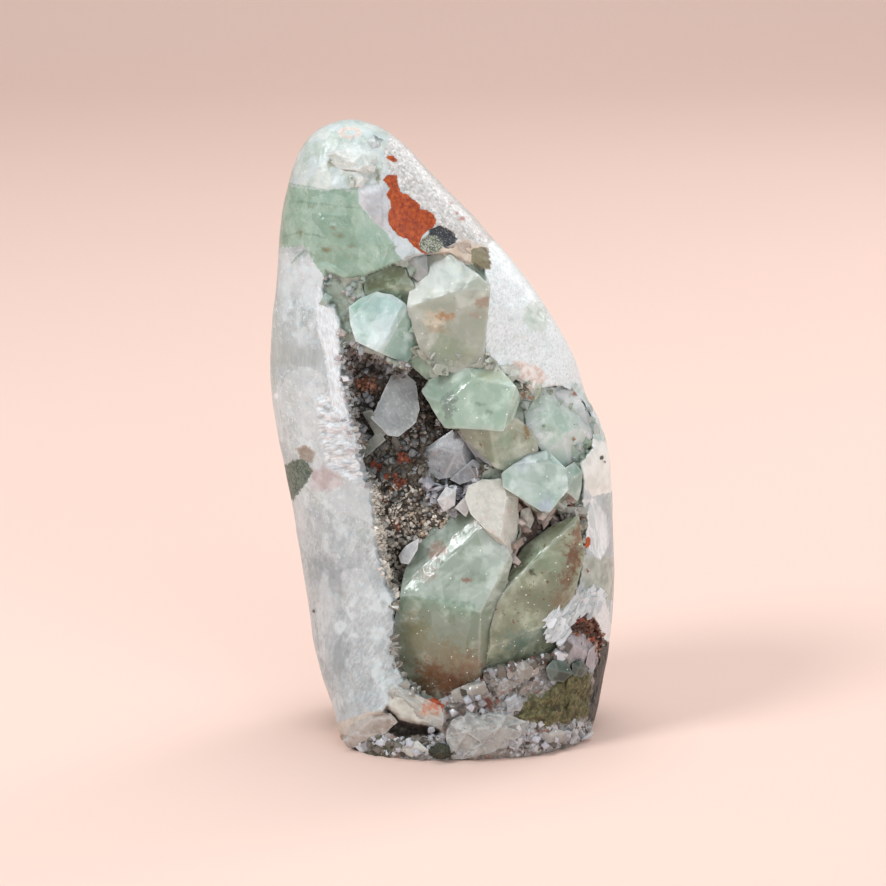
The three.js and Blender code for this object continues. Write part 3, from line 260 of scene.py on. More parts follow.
CRYSTALS = {
    "apophyllite_large": [(9.3, -18.2, 52.8), (-8.9, -20.1, 36), (8, -25.7, 33.4), (14.3, -22.5, 45), (4.1, -13.2, 53.3), (-2.4, -11.6, 49.3), (-6.5, -14.2, 43.4), (-8.5, -17.3, 38.9), (7.6, -23.6, 17.6), (-0.4, -20.2, 12.2), (-6.6, -18.3, 14.3), (-9.8, -17.8, 19.7), (-10.5, -18.7, 29.1), (12.1, -22.7, 35.7), (10.6, -22.4, 26.1), (-8, -3.6, 18.1), (-8.5, -4, 25.6), (-6.9, -3.5, 33.8), (-5.3, -2.4, 37.9), (-1.9, -1.5, 43), (3.4, -2, 46), (7.6, -3.8, 45.1), (11.7, -5.3, 38.2), (8.7, -5.3, 22.7), (6.2, -5.7, 15.6), (-0.3, -4.5, 11.7), (-5.3, -3.8, 13.7)],
    "apophyllite_lower_right": [(13, -22.4, 36.9), (19.1, -20.6, 42.3), (23, -19, 46.3), (29.1, -16.8, 52.2), (15.4, -17.9, 41.5), (17.6, -15.3, 44.9), (24.6, -14.9, 50.1), (30.4, -16.9, 44.4), (29.2, -17.6, 38), (25.5, -19, 34.1), (22.6, -20.1, 29.5), (15, -22.4, 26.1), (10.2, -24, 25.2), (11.5, -23.1, 34), (24.7, -17.9, 26.6), (24.5, -15.6, 21.5), (19, -18.2, 21.4), (13.1, -20.4, 20.2), (9.4, -21.8, 19.6), (28.1, -5.3, 46.6), (29.2, -5.4, 40.1), (28.1, -5.6, 34.7), (24.3, -4.9, 21.3), (11.7, -7.1, 18.7), (13.5, -7.5, 30.5), (16.7, -5.7, 37.5), (18.5, -4.8, 40.7), (24.3, -4.7, 45.1)],
    "apophyllite_pale": [(-19.9, -17.1, 98.7), (-17.4, -16.4, 100.5), (-14.1, -16, 101.7), (-10.9, -15.9, 101), (-8.4, -16.1, 99.3), (-9, -16.6, 96.2), (-13.9, -16.8, 97.5), (-19.5, -18.4, 95.2), (-18.4, -19.4, 92.2), (-13.9, -19.7, 90), (-11.1, -18.1, 92.3), (-9.9, -16.5, 87.5), (-8, -14.9, 86.3), (-6.5, -13.9, 88.7), (-5.6, -13.5, 92.2), (-6.5, -14.5, 96.8), (-7, -4.5, 90.7), (-7.8, -4.6, 87.8), (-9, -4.9, 85.8), (-13.8, -6.6, 88.3), (-17.5, -6.5, 90), (-18.3, -6.1, 92.6), (-18.7, -5.7, 95.6), (-16.6, -5.5, 97.1), (-14, -5.3, 98.1), (-11.4, -5.3, 97.6), (-9.3, -5.4, 96.2), (-7.7, -4.8, 94.3)],
    "apophyllite_milky": [(-7.3, -16.1, 98.9), (-0.6, -17.2, 100.9), (5.8, -18, 103.7), (9.6, -18.5, 103.6), (-3.9, -10.8, 108.5), (0.6, -12.1, 109.2), (4.1, -14.4, 107.7), (7.7, -17.3, 105.7), (-6.7, -13.3, 103.3), (9.4, -18.2, 98), (8.8, -17.7, 90.7), (8.2, -17.4, 86.7), (4.1, -16.8, 84.5), (-0.7, -16.3, 85.1), (-4.1, -16, 88.8), (-6.2, -16, 93.6), (7, -4.5, 86), (3.7, -4.3, 84.3), (-0.2, -4.1, 84.8), (-3, -4, 87.8), (-4.7, -4, 91.8), (-5.6, -4.1, 96), (-5, -3.1, 99.9), (-2.8, -2.2, 104.3), (0.9, -2.6, 104.8), (3.6, -3.5, 103.4), (6.6, -4.5, 101.4), (8.2, -4.9, 99.6), (8, -4.8, 95.1), (7.5, -4.6, 89.2)],
    "apophyllite_middle": [(1.3, -20.7, 78.2), (4.1, -19.1, 82.4), (7.5, -19.9, 83.5), (15.4, -22.3, 82.5), (14.5, -23.4, 79.5), (12.8, -25.6, 73.8), (3.2, -23, 73.9), (-4.3, -15.5, 80), (-2.8, -14.7, 82.1), (0.9, -15.4, 84), (5.8, -17.3, 85.3), (11.8, -18, 85.2), (-1.1, -19.1, 78), (0.6, -21.2, 73.4), (-1.3, -19.2, 76), (16.3, -18.6, 79.2), (15.3, -19.9, 75.5), (11.9, -9.7, 71.3), (1.7, -8.2, 71.5), (0.1, -7.5, 73.9), (-2.4, -6.2, 77.6), (-1.1, -5.9, 79.4), (1.9, -6.1, 80.9), (6, -6.8, 81.8), (11, -7, 81.7), (14, -8.6, 78.9), (14.8, -7.2, 76.6), (13.9, -7.7, 73.4)],
    "apophyllite_shoulder": [(10.1, -21.9, 73.4), (11, -21.1, 68.3), (11.6, -20.5, 64.4), (3.2, -17.5, 73), (5.2, -17.8, 69.7), (8.4, -19.1, 66.9), (14.8, -19.8, 75.3), (17.2, -18.5, 73.4), (20.1, -16.9, 69.3), (20.3, -16.6, 67), (15.5, -18.8, 65), (13.6, -19.6, 63.5), (19.4, -7.2, 64.8), (13.6, -8.2, 61.5), (12, -8.5, 62.1), (9.2, -8, 64.5), (6.4, -7.6, 67.1), (4.7, -7.5, 69.9), (14.7, -8.3, 71.6), (16.8, -7.8, 70.2), (19.2, -7.3, 66.8)],
    "apophyllite_kite": [(14.8, -21, 64.5), (18.1, -19.8, 65.1), (22.9, -18.7, 65), (18.8, -17.7, 66.3), (22.3, -16.4, 66.9), (26.4, -18.2, 63.1), (26.8, -19.2, 59.1), (22.6, -21.5, 54.6), (20.5, -21.8, 55.6), (15.5, -22.2, 59), (13.1, -22.3, 61.1), (12.9, -21.8, 62.9), (25.2, -9.7, 57.2), (22.1, -10.5, 53.5), (20.5, -10.7, 54.2), (16.7, -10.8, 56.8), (14.9, -10.8, 58.3), (14.7, -10.7, 59.8), (16.2, -10.4, 61), (19.1, -9.2, 62.8), (21.8, -8.8, 63.3), (24.9, -9.4, 60.3)],
    "apophyllite_small_right": [(26.6, -16.2, 62.8), (28.4, -13.8, 63.4), (30, -13.7, 61.5), (29.8, -14.2, 57.6), (29.1, -15.2, 55.8), (26.6, -18.2, 58.7), (27.9, -16.4, 60.9), (27.2, -8.4, 56.4), (27.2, -7.6, 60.2), (28.7, -6.8, 61), (30, -6.8, 59.5), (29.8, -6.9, 56), (29.3, -7.3, 54.4)],
    "stilbite_column": [(5.6, -20.6, 60), (8.4, -20.1, 61.2), (12.5, -19.7, 61.3), (13.6, -20.6, 58), (13.2, -21.7, 52.9), (12.3, -22.9, 49.4), (9.3, -22.6, 51.1), (6, -21.9, 55), (5, -21.3, 57.7), (16, -17.4, 57.1), (16.1, -17.8, 49.6), (14.7, -19.9, 45), (12.4, -8.2, 57.4), (15.4, -7.4, 54.1), (15.4, -7.6, 47.6), (14.3, -8.3, 43.3), (9.6, -9.3, 48.2), (6.8, -9, 51.6), (5.9, -8.8, 54.1), (6.4, -8.6, 56.1), (8.8, -8.4, 57.2)],
    "stilbite_ball": [(-2.8, -12.6, 66.2), (-0.4, -12.8, 68.7), (2.6, -12.8, 70.5), (5.2, -13.8, 70.3), (6.9, -13.1, 67.2), (8, -12.8, 64.2), (5.2, -15.4, 62.6), (2.6, -14.8, 61.1), (-0.7, -13.7, 60.2), (-3.3, -12.4, 61.4), (-5, -11.5, 62.8), (-5.2, -11.4, 64.8), (0.7, -14.4, 66.6), (4.1, -15.6, 66.5), (1.9, -15, 63.6), (-3.9, -4.8, 63), (-0.1, -5.2, 66), (2.4, -5.2, 67.5), (4.5, -5.6, 67.2), (5.9, -5.3, 64.8), (6.8, -5.2, 62.4), (4.5, -6.1, 60.8), (2.4, -6, 59.7), (-0.2, -5.5, 59), (-2.3, -5.1, 60.2), (-3.7, -4.8, 61.4)],
    "stilbite_blade": [(-11.1, -9.7, 81.8), (-8.2, -9.8, 82.2), (-6.1, -10.9, 80.5), (-6.3, -12.3, 77.7), (-5.4, -13.6, 75.3), (-6.1, -14.6, 73.1), (-7.6, -15.1, 71.7), (-9.9, -15.5, 70.3), (-11.9, -15.2, 70.4), (-13.8, -14.2, 72.1), (-15.2, -13.4, 73.3), (-13.7, -12.5, 75.5), (-11.9, -11.5, 78), (-10.6, -10.8, 79.6), (-14, -8, 72.4), (-10.7, -6.7, 79.6), (-8.4, -6.8, 80), (-6.7, -7.1, 78.5), (-6.2, -8.1, 74), (-6.7, -8.4, 72.2), (-7.9, -8.6, 71), (-9.8, -8.8, 69.7), (-11.4, -8.7, 69.9)],
    "apophyllite_deep_green": [(-8.4, -14.1, 98.9), (-5.6, -14.6, 92.4), (-2.4, -14.9, 90), (-0.4, -14.7, 87.2), (-3.2, -13.2, 82.2), (-7.3, -13, 85.6), (-6.7, -13.9, 89.8), (-7.6, -5.1, 94.4), (-1.6, -5.3, 85.4), (-3.7, -4.8, 81.8), (-6.8, -4.7, 84.4)],
    "apophyllite_olive": [(-17, -13.6, 104.1), (-13.5, -13.4, 105.8), (-10.3, -13.4, 106.9), (-8.2, -14, 106.3), (-9.4, -14.9, 103.7), (-16.3, -15, 101.1), (-6.4, -14.4, 102.9), (-6.9, -13.4, 99.2), (-8.8, -13, 96.9), (-14, -14, 98.4), (-9.4, -4.6, 96.2), (-13.6, -5, 97.3), (-15.5, -5.3, 99.3), (-16, -4.8, 101.9), (-13.2, -4.8, 103.3), (-10.6, -4.8, 104.2), (-8.9, -5, 103.7), (-7.5, -5.1, 100.9), (-7.8, -4.8, 98)],
    "stilbite_chunk": [(-25.6, -7.2, 129.9), (-22.7, -7.7, 131.9), (-17.8, -7.9, 131.5), (-15.4, -9.4, 128.6), (-15.8, -10.9, 124.7), (-19.7, -11.2, 123.4), (-21.2, -10.1, 126.9), (-21, -10.6, 130.1), (-18.2, -11.7, 128.1), (-19.8, -3.2, 123), (-24.5, -1.8, 128.6), (-22.2, -1.9, 130.2), (-18.3, -2, 129.8), (-16.4, -2.6, 127.3), (-16.7, -3.1, 124.1)],
    "stilbite_plate_upper": [(-17.1, -12.2, 74.3), (-15.6, -13, 75), (-12.8, -13.6, 70), (-13.9, -12.8, 68.7), (-14.1, -4.9, 66.9), (-17.2, -4.7, 72.4), (-15.7, -5, 72.9), (-13, -5.2, 68)],
    "stilbite_plate_lower": [(-13.9, -13.1, 70.3), (-12.8, -13.7, 68.7), (-17, -11.3, 64.5), (-18.3, -10.5, 65.2), (-18.3, -3.6, 63.5), (-14.1, -4.5, 68), (-13.1, -4.7, 66.4), (-17, -3.8, 62.7)],
    "stilbite_plate_small": [(1.9, -15.5, 60.4), (6.5, -16.4, 64.7), (8.2, -17.1, 64), (5.6, -16.8, 60.5), (3.7, -16.3, 59.7), (2.6, -9.1, 59), (6.3, -9.4, 62.3), (7.7, -9.7, 61.7), (5.6, -9.6, 59), (4, -9.4, 58.4)],
    "apophyllite_wedge": [(3, -15.1, 71.5), (5.8, -17.8, 72.4), (9.5, -18.5, 71.7), (10.8, -19, 64.5), (7.6, -17.5, 65.6), (8, -19.1, 70), (3.9, -7.9, 69.1), (6.2, -8.8, 69.5), (9.2, -9.1, 68.9), (10.2, -9.2, 63), (7.6, -8.7, 64.1)],
    "apophyllite_right_mass": [(17.7, -13.4, 76.4), (21.2, -11.6, 79.1), (25.4, -8, 78.9), (29.2, -5.4, 76.3), (32, -3, 72.1), (32.6, -5.4, 68.4), (31.4, -7.6, 65.6), (29.4, -9.5, 63.8), (27.2, -11.3, 61.4), (23, -14, 64.1), (20.3, -15.3, 68.9), (18.2, -15.2, 72.6), (22.7, -13.7, 74.9), (27.8, -9.4, 74.1), (30.1, -9.3, 69.8), (25.4, -13.9, 68.7), (27.2, -1.7, 60.8), (23.7, -2.7, 62.7), (21.5, -3.1, 66.5), (19.7, -3.1, 69.6), (19.3, -2.5, 73), (22.2, -1.8, 75.4), (25.6, -0.5, 75.7), (28.8, 0.3, 73.8), (31, 1.2, 70.6), (31.5, 0.4, 67.3), (30.6, -0.4, 64.7)],
    "heulandite_lump": [(1.3, -26.8, 8.8), (4.3, -27, 10.5), (8.2, -27, 10.2), (13.7, -25.9, 10.2), (18.3, -24.4, 8.1), (18.5, -24.5, 6), (13.7, -26.3, 3.6), (9.6, -27.1, 1.8), (4.3, -26.8, 0.4), (1.7, -26.8, 0.8), (0.7, -26.9, 5.2), (5, -29.1, 7.8), (12.4, -28.5, 8.2), (8.5, -28.8, 4.7), (3, -17.8, 0.4), (2.1, -17.9, 2.4), (2.6, -17.8, 5.4), (5.2, -17.9, 6.7), (12.9, -17.5, 6.6), (16.7, -17, 5.1), (16.9, -17, 3.4), (12.9, -17.6, 1.1), (9.5, -17.9, 0.4), (5.2, -17.8, 0.4)],
    "chalcedony_lump": [(26.2, -18, 24.1), (28.2, -16.8, 25.5), (30.7, -14.2, 25), (33.3, -10.9, 21), (33.1, -10.9, 17.8), (30.1, -14.6, 17.6), (26.9, -17.3, 19.5), (28.6, -17.5, 23.5), (30.9, -15.5, 21.7), (30.7, -7.8, 22.3), (32.8, -6.6, 19.6), (32.6, -6.6, 17), (30.2, -7.9, 16.3), (27.7, -8.8, 17.5), (27.2, -9.1, 21.1), (28.8, -8.7, 22.4)],
    "celadonite_ball": [(-3.3, -26.4, 1.4), (-2.6, -27, 3.2), (-0.7, -27.2, 4.2), (1.3, -27.3, 3.5), (2.4, -26.8, 1.5), (1.5, -26.3, 0.4), (-0.4, -25.9, 0.4), (-2.4, -26.3, 0.4), (-1.3, -29.6, 2.9), (0.4, -29.6, 2.7), (-2.7, -20.9, 0.4), (-2.2, -21.2, 1), (-0.6, -21.2, 1.7), (0.9, -21.3, 1.2), (1.8, -21.1, 0.4), (1.1, -20.9, 0.4), (-0.5, -20.8, 0.4), (-2, -20.9, 0.4)],
    "stilbite_chip": [(-9.4, -15.9, 43.2), (-7.8, -16.8, 45.7), (-5.6, -18.2, 47.2), (-5.9, -18.4, 45.5), (-7.6, -17.6, 42.1), (-8.9, -16.5, 42), (-8.7, -11, 40.9), (-9.1, -10.8, 41.9), (-7.8, -11.1, 43.8), (-6.1, -11.6, 44.9), (-6.2, -11.6, 43.4), (-7.7, -11.3, 40.8)],
}

# ---------------------------------------------------------------- crystal forms: flat faces from the corner points
def hull_faces(points):
    bm = bmesh.new()
    for p in points:
        bm.verts.new(Vector(p))
    r = bmesh.ops.convex_hull(bm, input=bm.verts[:])
    junk = {e for e in r["geom_interior"] + r["geom_unused"] if isinstance(e, bmesh.types.BMVert)}
    if junk:
        bmesh.ops.delete(bm, geom=list(junk), context="VERTS")
    bmesh.ops.recalc_face_normals(bm, faces=bm.faces[:])
    bm.normal_update()
    out = [(np.array(f.normal), f.calc_area(), [np.array(v.co) for v in f.verts]) for f in bm.faces]
    bm.free()
    return out

def planes_of(points, angle=14.0, grow=0.25):
    """Joins the hull's faces that lie within an angle of each other into flat crystal faces."""
    faces = sorted(hull_faces(points), key=lambda f: -f[1])
    groups = []
    for n, a, vs in faces:
        for g in groups:
            if n @ g[0] > math.cos(math.radians(angle)):
                g[1].append((n, a, vs))
                break
        else:
            groups.append((n, [(n, a, vs)]))
    out = []
    for _, fs in groups:
        area = sum(a for _, a, _ in fs)
        n = sum(n * a for n, a, _ in fs)
        n = n / np.linalg.norm(n)
        mean = sum((n @ np.mean(vs, axis=0)) * a for _, a, vs in fs) / area
        top = max(n @ v for _, _, vs in fs for v in vs)
        out.append((n, 0.55 * mean + 0.45 * top + grow))
    return out

def polyhedron(planes, inside):
    """Corners and faces of the solid that the planes bound."""
    dual = [n / (d - n @ inside) for n, d in planes]
    bm = bmesh.new()
    vs = [bm.verts.new(Vector(p)) for p in dual]
    bm.verts.index_update()
    r = bmesh.ops.convex_hull(bm, input=vs)
    tris = [[v.index for v in f.verts] for f in bm.faces]
    bm.free()
    pts, owner = [], {}
    for t in tris:
        A = np.array([planes[k][0] for k in t])
        b = np.array([planes[k][1] for k in t])
        try:
            p = np.linalg.solve(A, b)
        except np.linalg.LinAlgError:
            continue
        for q, have in enumerate(pts):
            if np.linalg.norm(have - p) < 0.03:
                break
        else:
            q = len(pts)
            pts.append(p)
        for k in t:
            owner.setdefault(k, []).append(q)
    faces = []
    for k, ids in owner.items():
        ids = list(dict.fromkeys(ids))
        if len(ids) < 3:
            continue
        n = planes[k][0]
        c = np.mean([pts[i] for i in ids], axis=0)
        e1 = pts[ids[0]] - c
        e1 = e1 - n * (n @ e1)
        e1 /= np.linalg.norm(e1)
        e2 = np.cross(n, e1)
        ids.sort(key=lambda i: math.atan2((pts[i] - c) @ e2, (pts[i] - c) @ e1))
        faces.append(ids)
    return np.array(pts), faces

def trim(planes, points, inside, over=0.7):
    """Cuts off corners that run past the hull of the points."""
    q = np.array(points, float)
    hull = [(n, max(n @ v for v in vs)) for n, _, vs in hull_faces(points)]
    hn, hd = np.array([h[0] for h in hull]), np.array([h[1] for h in hull])
    for _ in range(8):
        pts, _f = polyhedron(planes, inside)
        out = (pts @ hn.T - hd).max(axis=1)
        k = int(np.argmax(out))
        if out[k] < over:
            break
        n = pts[k] - q[np.argmin(np.linalg.norm(q - pts[k], axis=1))]
        n = n / np.linalg.norm(n)
        planes = planes + [(n, float((q @ n).max() + 0.12))]
    return planes

def on_skin(u, v, depth):
    """Point at picture position (u, v), depth mm behind the polished skin."""
    u, v = np.array(float(u)), np.array(float(v))
    y = np.array(-15.0)
    for _ in range(6):
        a = P(u, v, y)
        y = np.array(float(skin_y(a[0], np.clip(a[2], 0.5, 136))) + depth)
    return P(u, v, y)

FORMS = {}
for _name, _pts in CRYSTALS.items():
    _lump = _name in ("heulandite_lump", "chalcedony_lump", "celadonite_ball", "stilbite_chunk")
    _pl = planes_of(_pts, 9.0 if _lump or _name in ("apophyllite_large", "apophyllite_pale") else 17.0 if _name == "apophyllite_right_mass" else 13.0, 0.1 if _lump else 0.3)
    FORMS[_name] = (trim(_pl, _pts, np.mean(_pts, axis=0)), np.mean(_pts, axis=0))

def entry_depth(u, v):
    """Depth y at which the line of sight of picture position (u, v) first meets a large crystal, inf if none."""
    a = P(u, v, np.full(u.shape, -40.0))
    b = P(u, v, np.full(u.shape, 20.0))
    best = np.full(u.shape, np.inf)
    for planes, _ in FORMS.values():
        lo, hi = np.zeros(u.shape), np.ones(u.shape)
        for n, d in planes:
            da, db = a @ n - d, b @ n - d
            t = da / (da - db + 1e-12)
            lo = np.where(da > db, np.maximum(lo, t), lo)
            hi = np.where(da < db, np.minimum(hi, t), hi)
            hi = np.where((da > 0) & (db > 0), -1, hi)
        hit = lo < hi
        y = a[..., 1] + (b[..., 1] - a[..., 1]) * lo
        best = np.where(hit, np.minimum(best, y), best)
    return best

# ---------------------------------------------------------------- mesh helpers
def new_mesh(name, verts_mm, faces, material, normals=None, smooth_shade=True):
    """A mesh object from vertex and face arrays (faces: (n, 3) or (n, 4))."""
    me = bpy.data.meshes.new(name)
    v = np.asarray(verts_mm, float) * MM
    f = np.asarray(faces, np.int32)
    k = f.shape[1]
    me.vertices.add(len(v))
    me.vertices.foreach_set("co", v.ravel())
    me.loops.add(f.size)
    me.loops.foreach_set("vertex_index", f.ravel())
    me.polygons.add(len(f))
    me.polygons.foreach_set("loop_start", np.arange(0, f.size, k, dtype=np.int32))
    me.polygons.foreach_set("loop_total", np.full(len(f), k, np.int32))
    me.polygons.foreach_set("use_smooth", np.full(len(f), smooth_shade))
    me.update(calc_edges=True)
    me.validate(clean_customdata=False)
    if material is not None:
        me.materials.append(material)
    if normals is not None:
        me.normals_split_custom_set_from_vertices(np.asarray(normals, float).tolist())
    o = bpy.data.objects.new(name, me)
    bpy.context.scene.collection.objects.link(o)
    return o

def add_attr(o, name, values):
    a = o.data.attributes.new(name, "FLOAT", "POINT")
    a.data.foreach_set("value", np.asarray(values, np.float32).ravel())

def add_color(o, name, rgb, domain="POINT"):
    a = o.data.attributes.new(name, "FLOAT_COLOR", domain)
    c = np.ones((len(rgb), 4), np.float32)
    c[:, :3] = rgb
    a.data.foreach_set("color", c.ravel())

# ---------------------------------------------------------------- shader helpers
def lin(r, g, b):
    """8-bit sRGB to linear."""
    return tuple(((c / 255 + 0.055) / 1.055) ** 2.4 if c > 10.3 else c / 255 / 12.92 for c in (r, g, b))

class Shader:
    def __init__(self, name):
        self.m = bpy.data.materials.new(name)
        self.m.use_nodes = True
        self.t = self.m.node_tree
        self.t.nodes.clear()
        self.out = self.t.nodes.new("ShaderNodeOutputMaterial")
        self._obj = None

    def node(self, kind, **props):
        n = self.t.nodes.new(kind)
        for k, v in props.items():
            setattr(n, k, v)
        return n

    def link(self, a, b):
        self.t.links.new(a, b)

    def put(self, sock, v):
        if isinstance(v, bpy.types.NodeSocket):
            self.t.links.new(v, sock)
        elif v is not None:
            if isinstance(v, (tuple, list)) and len(v) == 3 and sock.type == "RGBA":
                v = (*v, 1.0)
            sock.default_value = v

    def coords(self, scale=(1, 1, 1), rot=(0, 0, 0), loc=(0, 0, 0)):
        """Row-frame coordinates in mm times scale."""
        if self._obj is None:
            self._obj = self.node("ShaderNodeTexCoord").outputs["Object"]
        m = self.node("ShaderNodeMapping")
        self.link(self._obj, m.inputs["Vector"])
        m.inputs["Scale"].default_value = (1000, 1000, 1000)
        m.inputs["Rotation"].default_value = rot
        if tuple(scale) == (1, 1, 1) and tuple(loc) == (0, 0, 0):
            return m.outputs["Vector"]
        k = self.node("ShaderNodeMapping")
        self.link(m.outputs["Vector"], k.inputs["Vector"])
        k.inputs["Scale"].default_value = scale
        k.inputs["Location"].default_value = loc
        return k.outputs["Vector"]

    def noise(self, vec, scale=1.0, detail=3.0, rough=0.5, distort=0.0, color=False):
        n = self.node("ShaderNodeTexNoise")
        self.put(n.inputs["Vector"], vec)
        n.inputs["Scale"].default_value = scale
        n.inputs["Detail"].default_value = detail
        n.inputs["Roughness"].default_value = rough
        n.inputs["Distortion"].default_value = distort
        return n.outputs["Color" if color else "Fac"]

    def voronoi(self, vec, scale=1.0, feature="F1", out="Distance", randomness=1.0):
        n = self.node("ShaderNodeTexVoronoi", feature=feature)
        self.put(n.inputs["Vector"], vec)
        n.inputs["Scale"].default_value = scale
        n.inputs["Randomness"].default_value = randomness
        return n.outputs[out]

    def math(self, op, a, b=None, c=None, clamp=False):
        n = self.node("ShaderNodeMath", operation=op, use_clamp=clamp)
        self.put(n.inputs[0], a)
        if b is not None:
            self.put(n.inputs[1], b)
        if c is not None:
            self.put(n.inputs[2], c)
        return n.outputs[0]

    def remap(self, x, a, b, c=0.0, d=1.0, kind="SMOOTHSTEP"):
        n = self.node("ShaderNodeMapRange", interpolation_type=kind, clamp=True) if kind == "LINEAR" else self.node("ShaderNodeMapRange", interpolation_type=kind)
        self.put(n.inputs["Value"], x)
        for k, v in zip(("From Min", "From Max", "To Min", "To Max"), (a, b, c, d)):
            self.put(n.inputs[k], v)
        return n.outputs["Result"]

    def mix(self, fac, a, b, blend="MIX"):
        n = self.node("ShaderNodeMix", data_type="RGBA", blend_type=blend)
        n.clamp_factor = True
        self.put(n.inputs[0], fac)
        self.put(n.inputs[6], a)
        self.put(n.inputs[7], b)
        return n.outputs[2]

    def mixf(self, fac, a, b):
        n = self.node("ShaderNodeMix", data_type="FLOAT")
        n.clamp_factor = True
        self.put(n.inputs[0], fac)
        self.put(n.inputs[2], a)
        self.put(n.inputs[3], b)
        return n.outputs[0]

    def vmath(self, op, a, b=None, out=0):
        n = self.node("ShaderNodeVectorMath", operation=op)
        self.put(n.inputs[0], a)
        if b is not None:
            self.put(n.inputs[1], b)
        return n.outputs[out]

    def blob(self, at, r, strength=1.0, lo=0.3, hi=1.05, warp=1.25, freq=0.8):
        """Soft spot round a point (mm), its edge broken by noise."""
        r = (r, r, r) if isinstance(r, (int, float)) else r
        p = self.vmath("SUBTRACT", self.coords(), tuple(at))
        p = self.vmath("MULTIPLY", p, tuple(1.0 / k for k in r))
        w = self.vmath("SUBTRACT", self.noise(self.coords(), freq, 4, 0.6, color=True), (0.5, 0.5, 0.5))
        p = self.vmath("ADD", p, self.vmath("MULTIPLY", w, (warp * 2, warp * 2, warp * 2)))
        return self.remap(self.vmath("LENGTH", p, out="Value"), lo, hi, strength, 0.0)

    def attr(self, name, out="Fac"):
        n = self.node("ShaderNodeAttribute", attribute_type="GEOMETRY", attribute_name=name)
        return n.outputs[out]

    def ramp(self, fac, stops, mode="LINEAR"):
        n = self.node("ShaderNodeValToRGB")
        n.color_ramp.interpolation = mode
        e = n.color_ramp.elements
        while len(e) < len(stops):
            e.new(0.5)
        for el, (p, c) in zip(e, stops):
            el.position = p
            el.color = (*c, 1.0)
        self.put(n.inputs["Fac"], fac)
        return n.outputs["Color"]

    def bump(self, height, strength=0.3, distance=0.0002, normal=None):
        n = self.node("ShaderNodeBump")
        n.inputs["Strength"].default_value = strength
        n.inputs["Distance"].default_value = distance
        self.put(n.inputs["Height"], height)
        if normal is not None:
            self.link(normal, n.inputs["Normal"])
        return n.outputs["Normal"]

    def principled(self, **kw):
        n = self.node("ShaderNodeBsdfPrincipled")
        for k, v in kw.items():
            self.put(n.inputs[k.replace("_", " ")], v)
        self.link(n.outputs["BSDF"], self.out.inputs["Surface"])
        return n

# ---------------------------------------------------------------- the stone: grid
NUF, NUB, NV = 300, 170, 384

def _heights():
    """Ring heights spaced evenly along the surface."""
    z = HEIGHT * (1 - (1 - np.linspace(0, 1, 4000)) ** 1.6)
    a = (section(2, z) - section(1, z)) / 2
    f = section(3, z)
    ds = np.sqrt(np.diff(z) ** 2 + (np.diff(a) * 0.7) ** 2 + (np.diff(f) * 0.5) ** 2)
    s = np.concatenate([[0], np.cumsum(ds)])
    return np.interp(np.linspace(0, s[-1] * 0.9985, NV), s, z)

ZR = _heights()
TH = np.concatenate([np.pi + np.pi * np.arange(NUF) / NUF, np.pi * np.arange(NUB) / NUB])
NU = NUF + NUB
_z, _t = np.meshgrid(ZR, TH, indexing="ij")
_c, _s = np.cos(_t), np.sin(_t)
_l, _r, _F, _B = (section(k, _z) for k in (1, 2, 3, 4))
_p = np.where(_s < 0, np.where(_c < 0, section(5, _z), section(6, _z)), section(7, _z))
BASE = np.stack([
    (_l + _r) / 2 + (_r - _l) / 2 * np.sign(_c) * np.abs(_c) ** (2 / _p),
    np.where(_s < -1e-9, -_F, _B) * np.abs(_s) ** (2 / _p),
    _z], -1)
FRONT = np.broadcast_to((np.arange(NU) <= NUF)[None, :], _z.shape)
U0, V0 = px(BASE)

# ---------------------------------------------------------------- the stone: relief
warp = np.stack([fbm(BASE, 0.35, 3, 11), fbm(BASE, 0.35, 3, 23)], -1) * 2.2
fine = np.stack([fbm(BASE, 1.3, 2, 31), fbm(BASE, 1.3, 2, 37)], -1) * 1.2
UW, VW = U0 + warp[..., 0] + fine[..., 0], V0 + warp[..., 1] + fine[..., 1]
US, VS = U0 + fine[..., 0] * 0.8, V0 + fine[..., 1] * 0.8
_jag = np.tanh(4 * vnoise(BASE, (0.05, 0.05, 0.42), 41)) * 1.7 + np.tanh(3 * vnoise(BASE, (0.1, 0.1, 1.1), 43)) * 0.9
US = US + _jag * smooth(-(U0 - 425), 0, 30) * smooth(V0, 275, 300)
ysid = BASE[..., 1]
front_gate = smooth(-ysid, 0.5, 3.5)

def sd_mm(poly, wild=True):
    return sdpoly(UW, VW, poly) / 4.54 if wild else sdpoly(US, VS, poly) / 4.54

sd_vug, sd_field, sd_gap = sd_mm(VUG, False), sd_mm(FIELD, False), sd_mm(GAP, False)
sd_foot, sd_cave, sd_arch = sd_mm(FOOT), sd_mm(CAVE, False), sd_mm(ARCHHOLE, False)

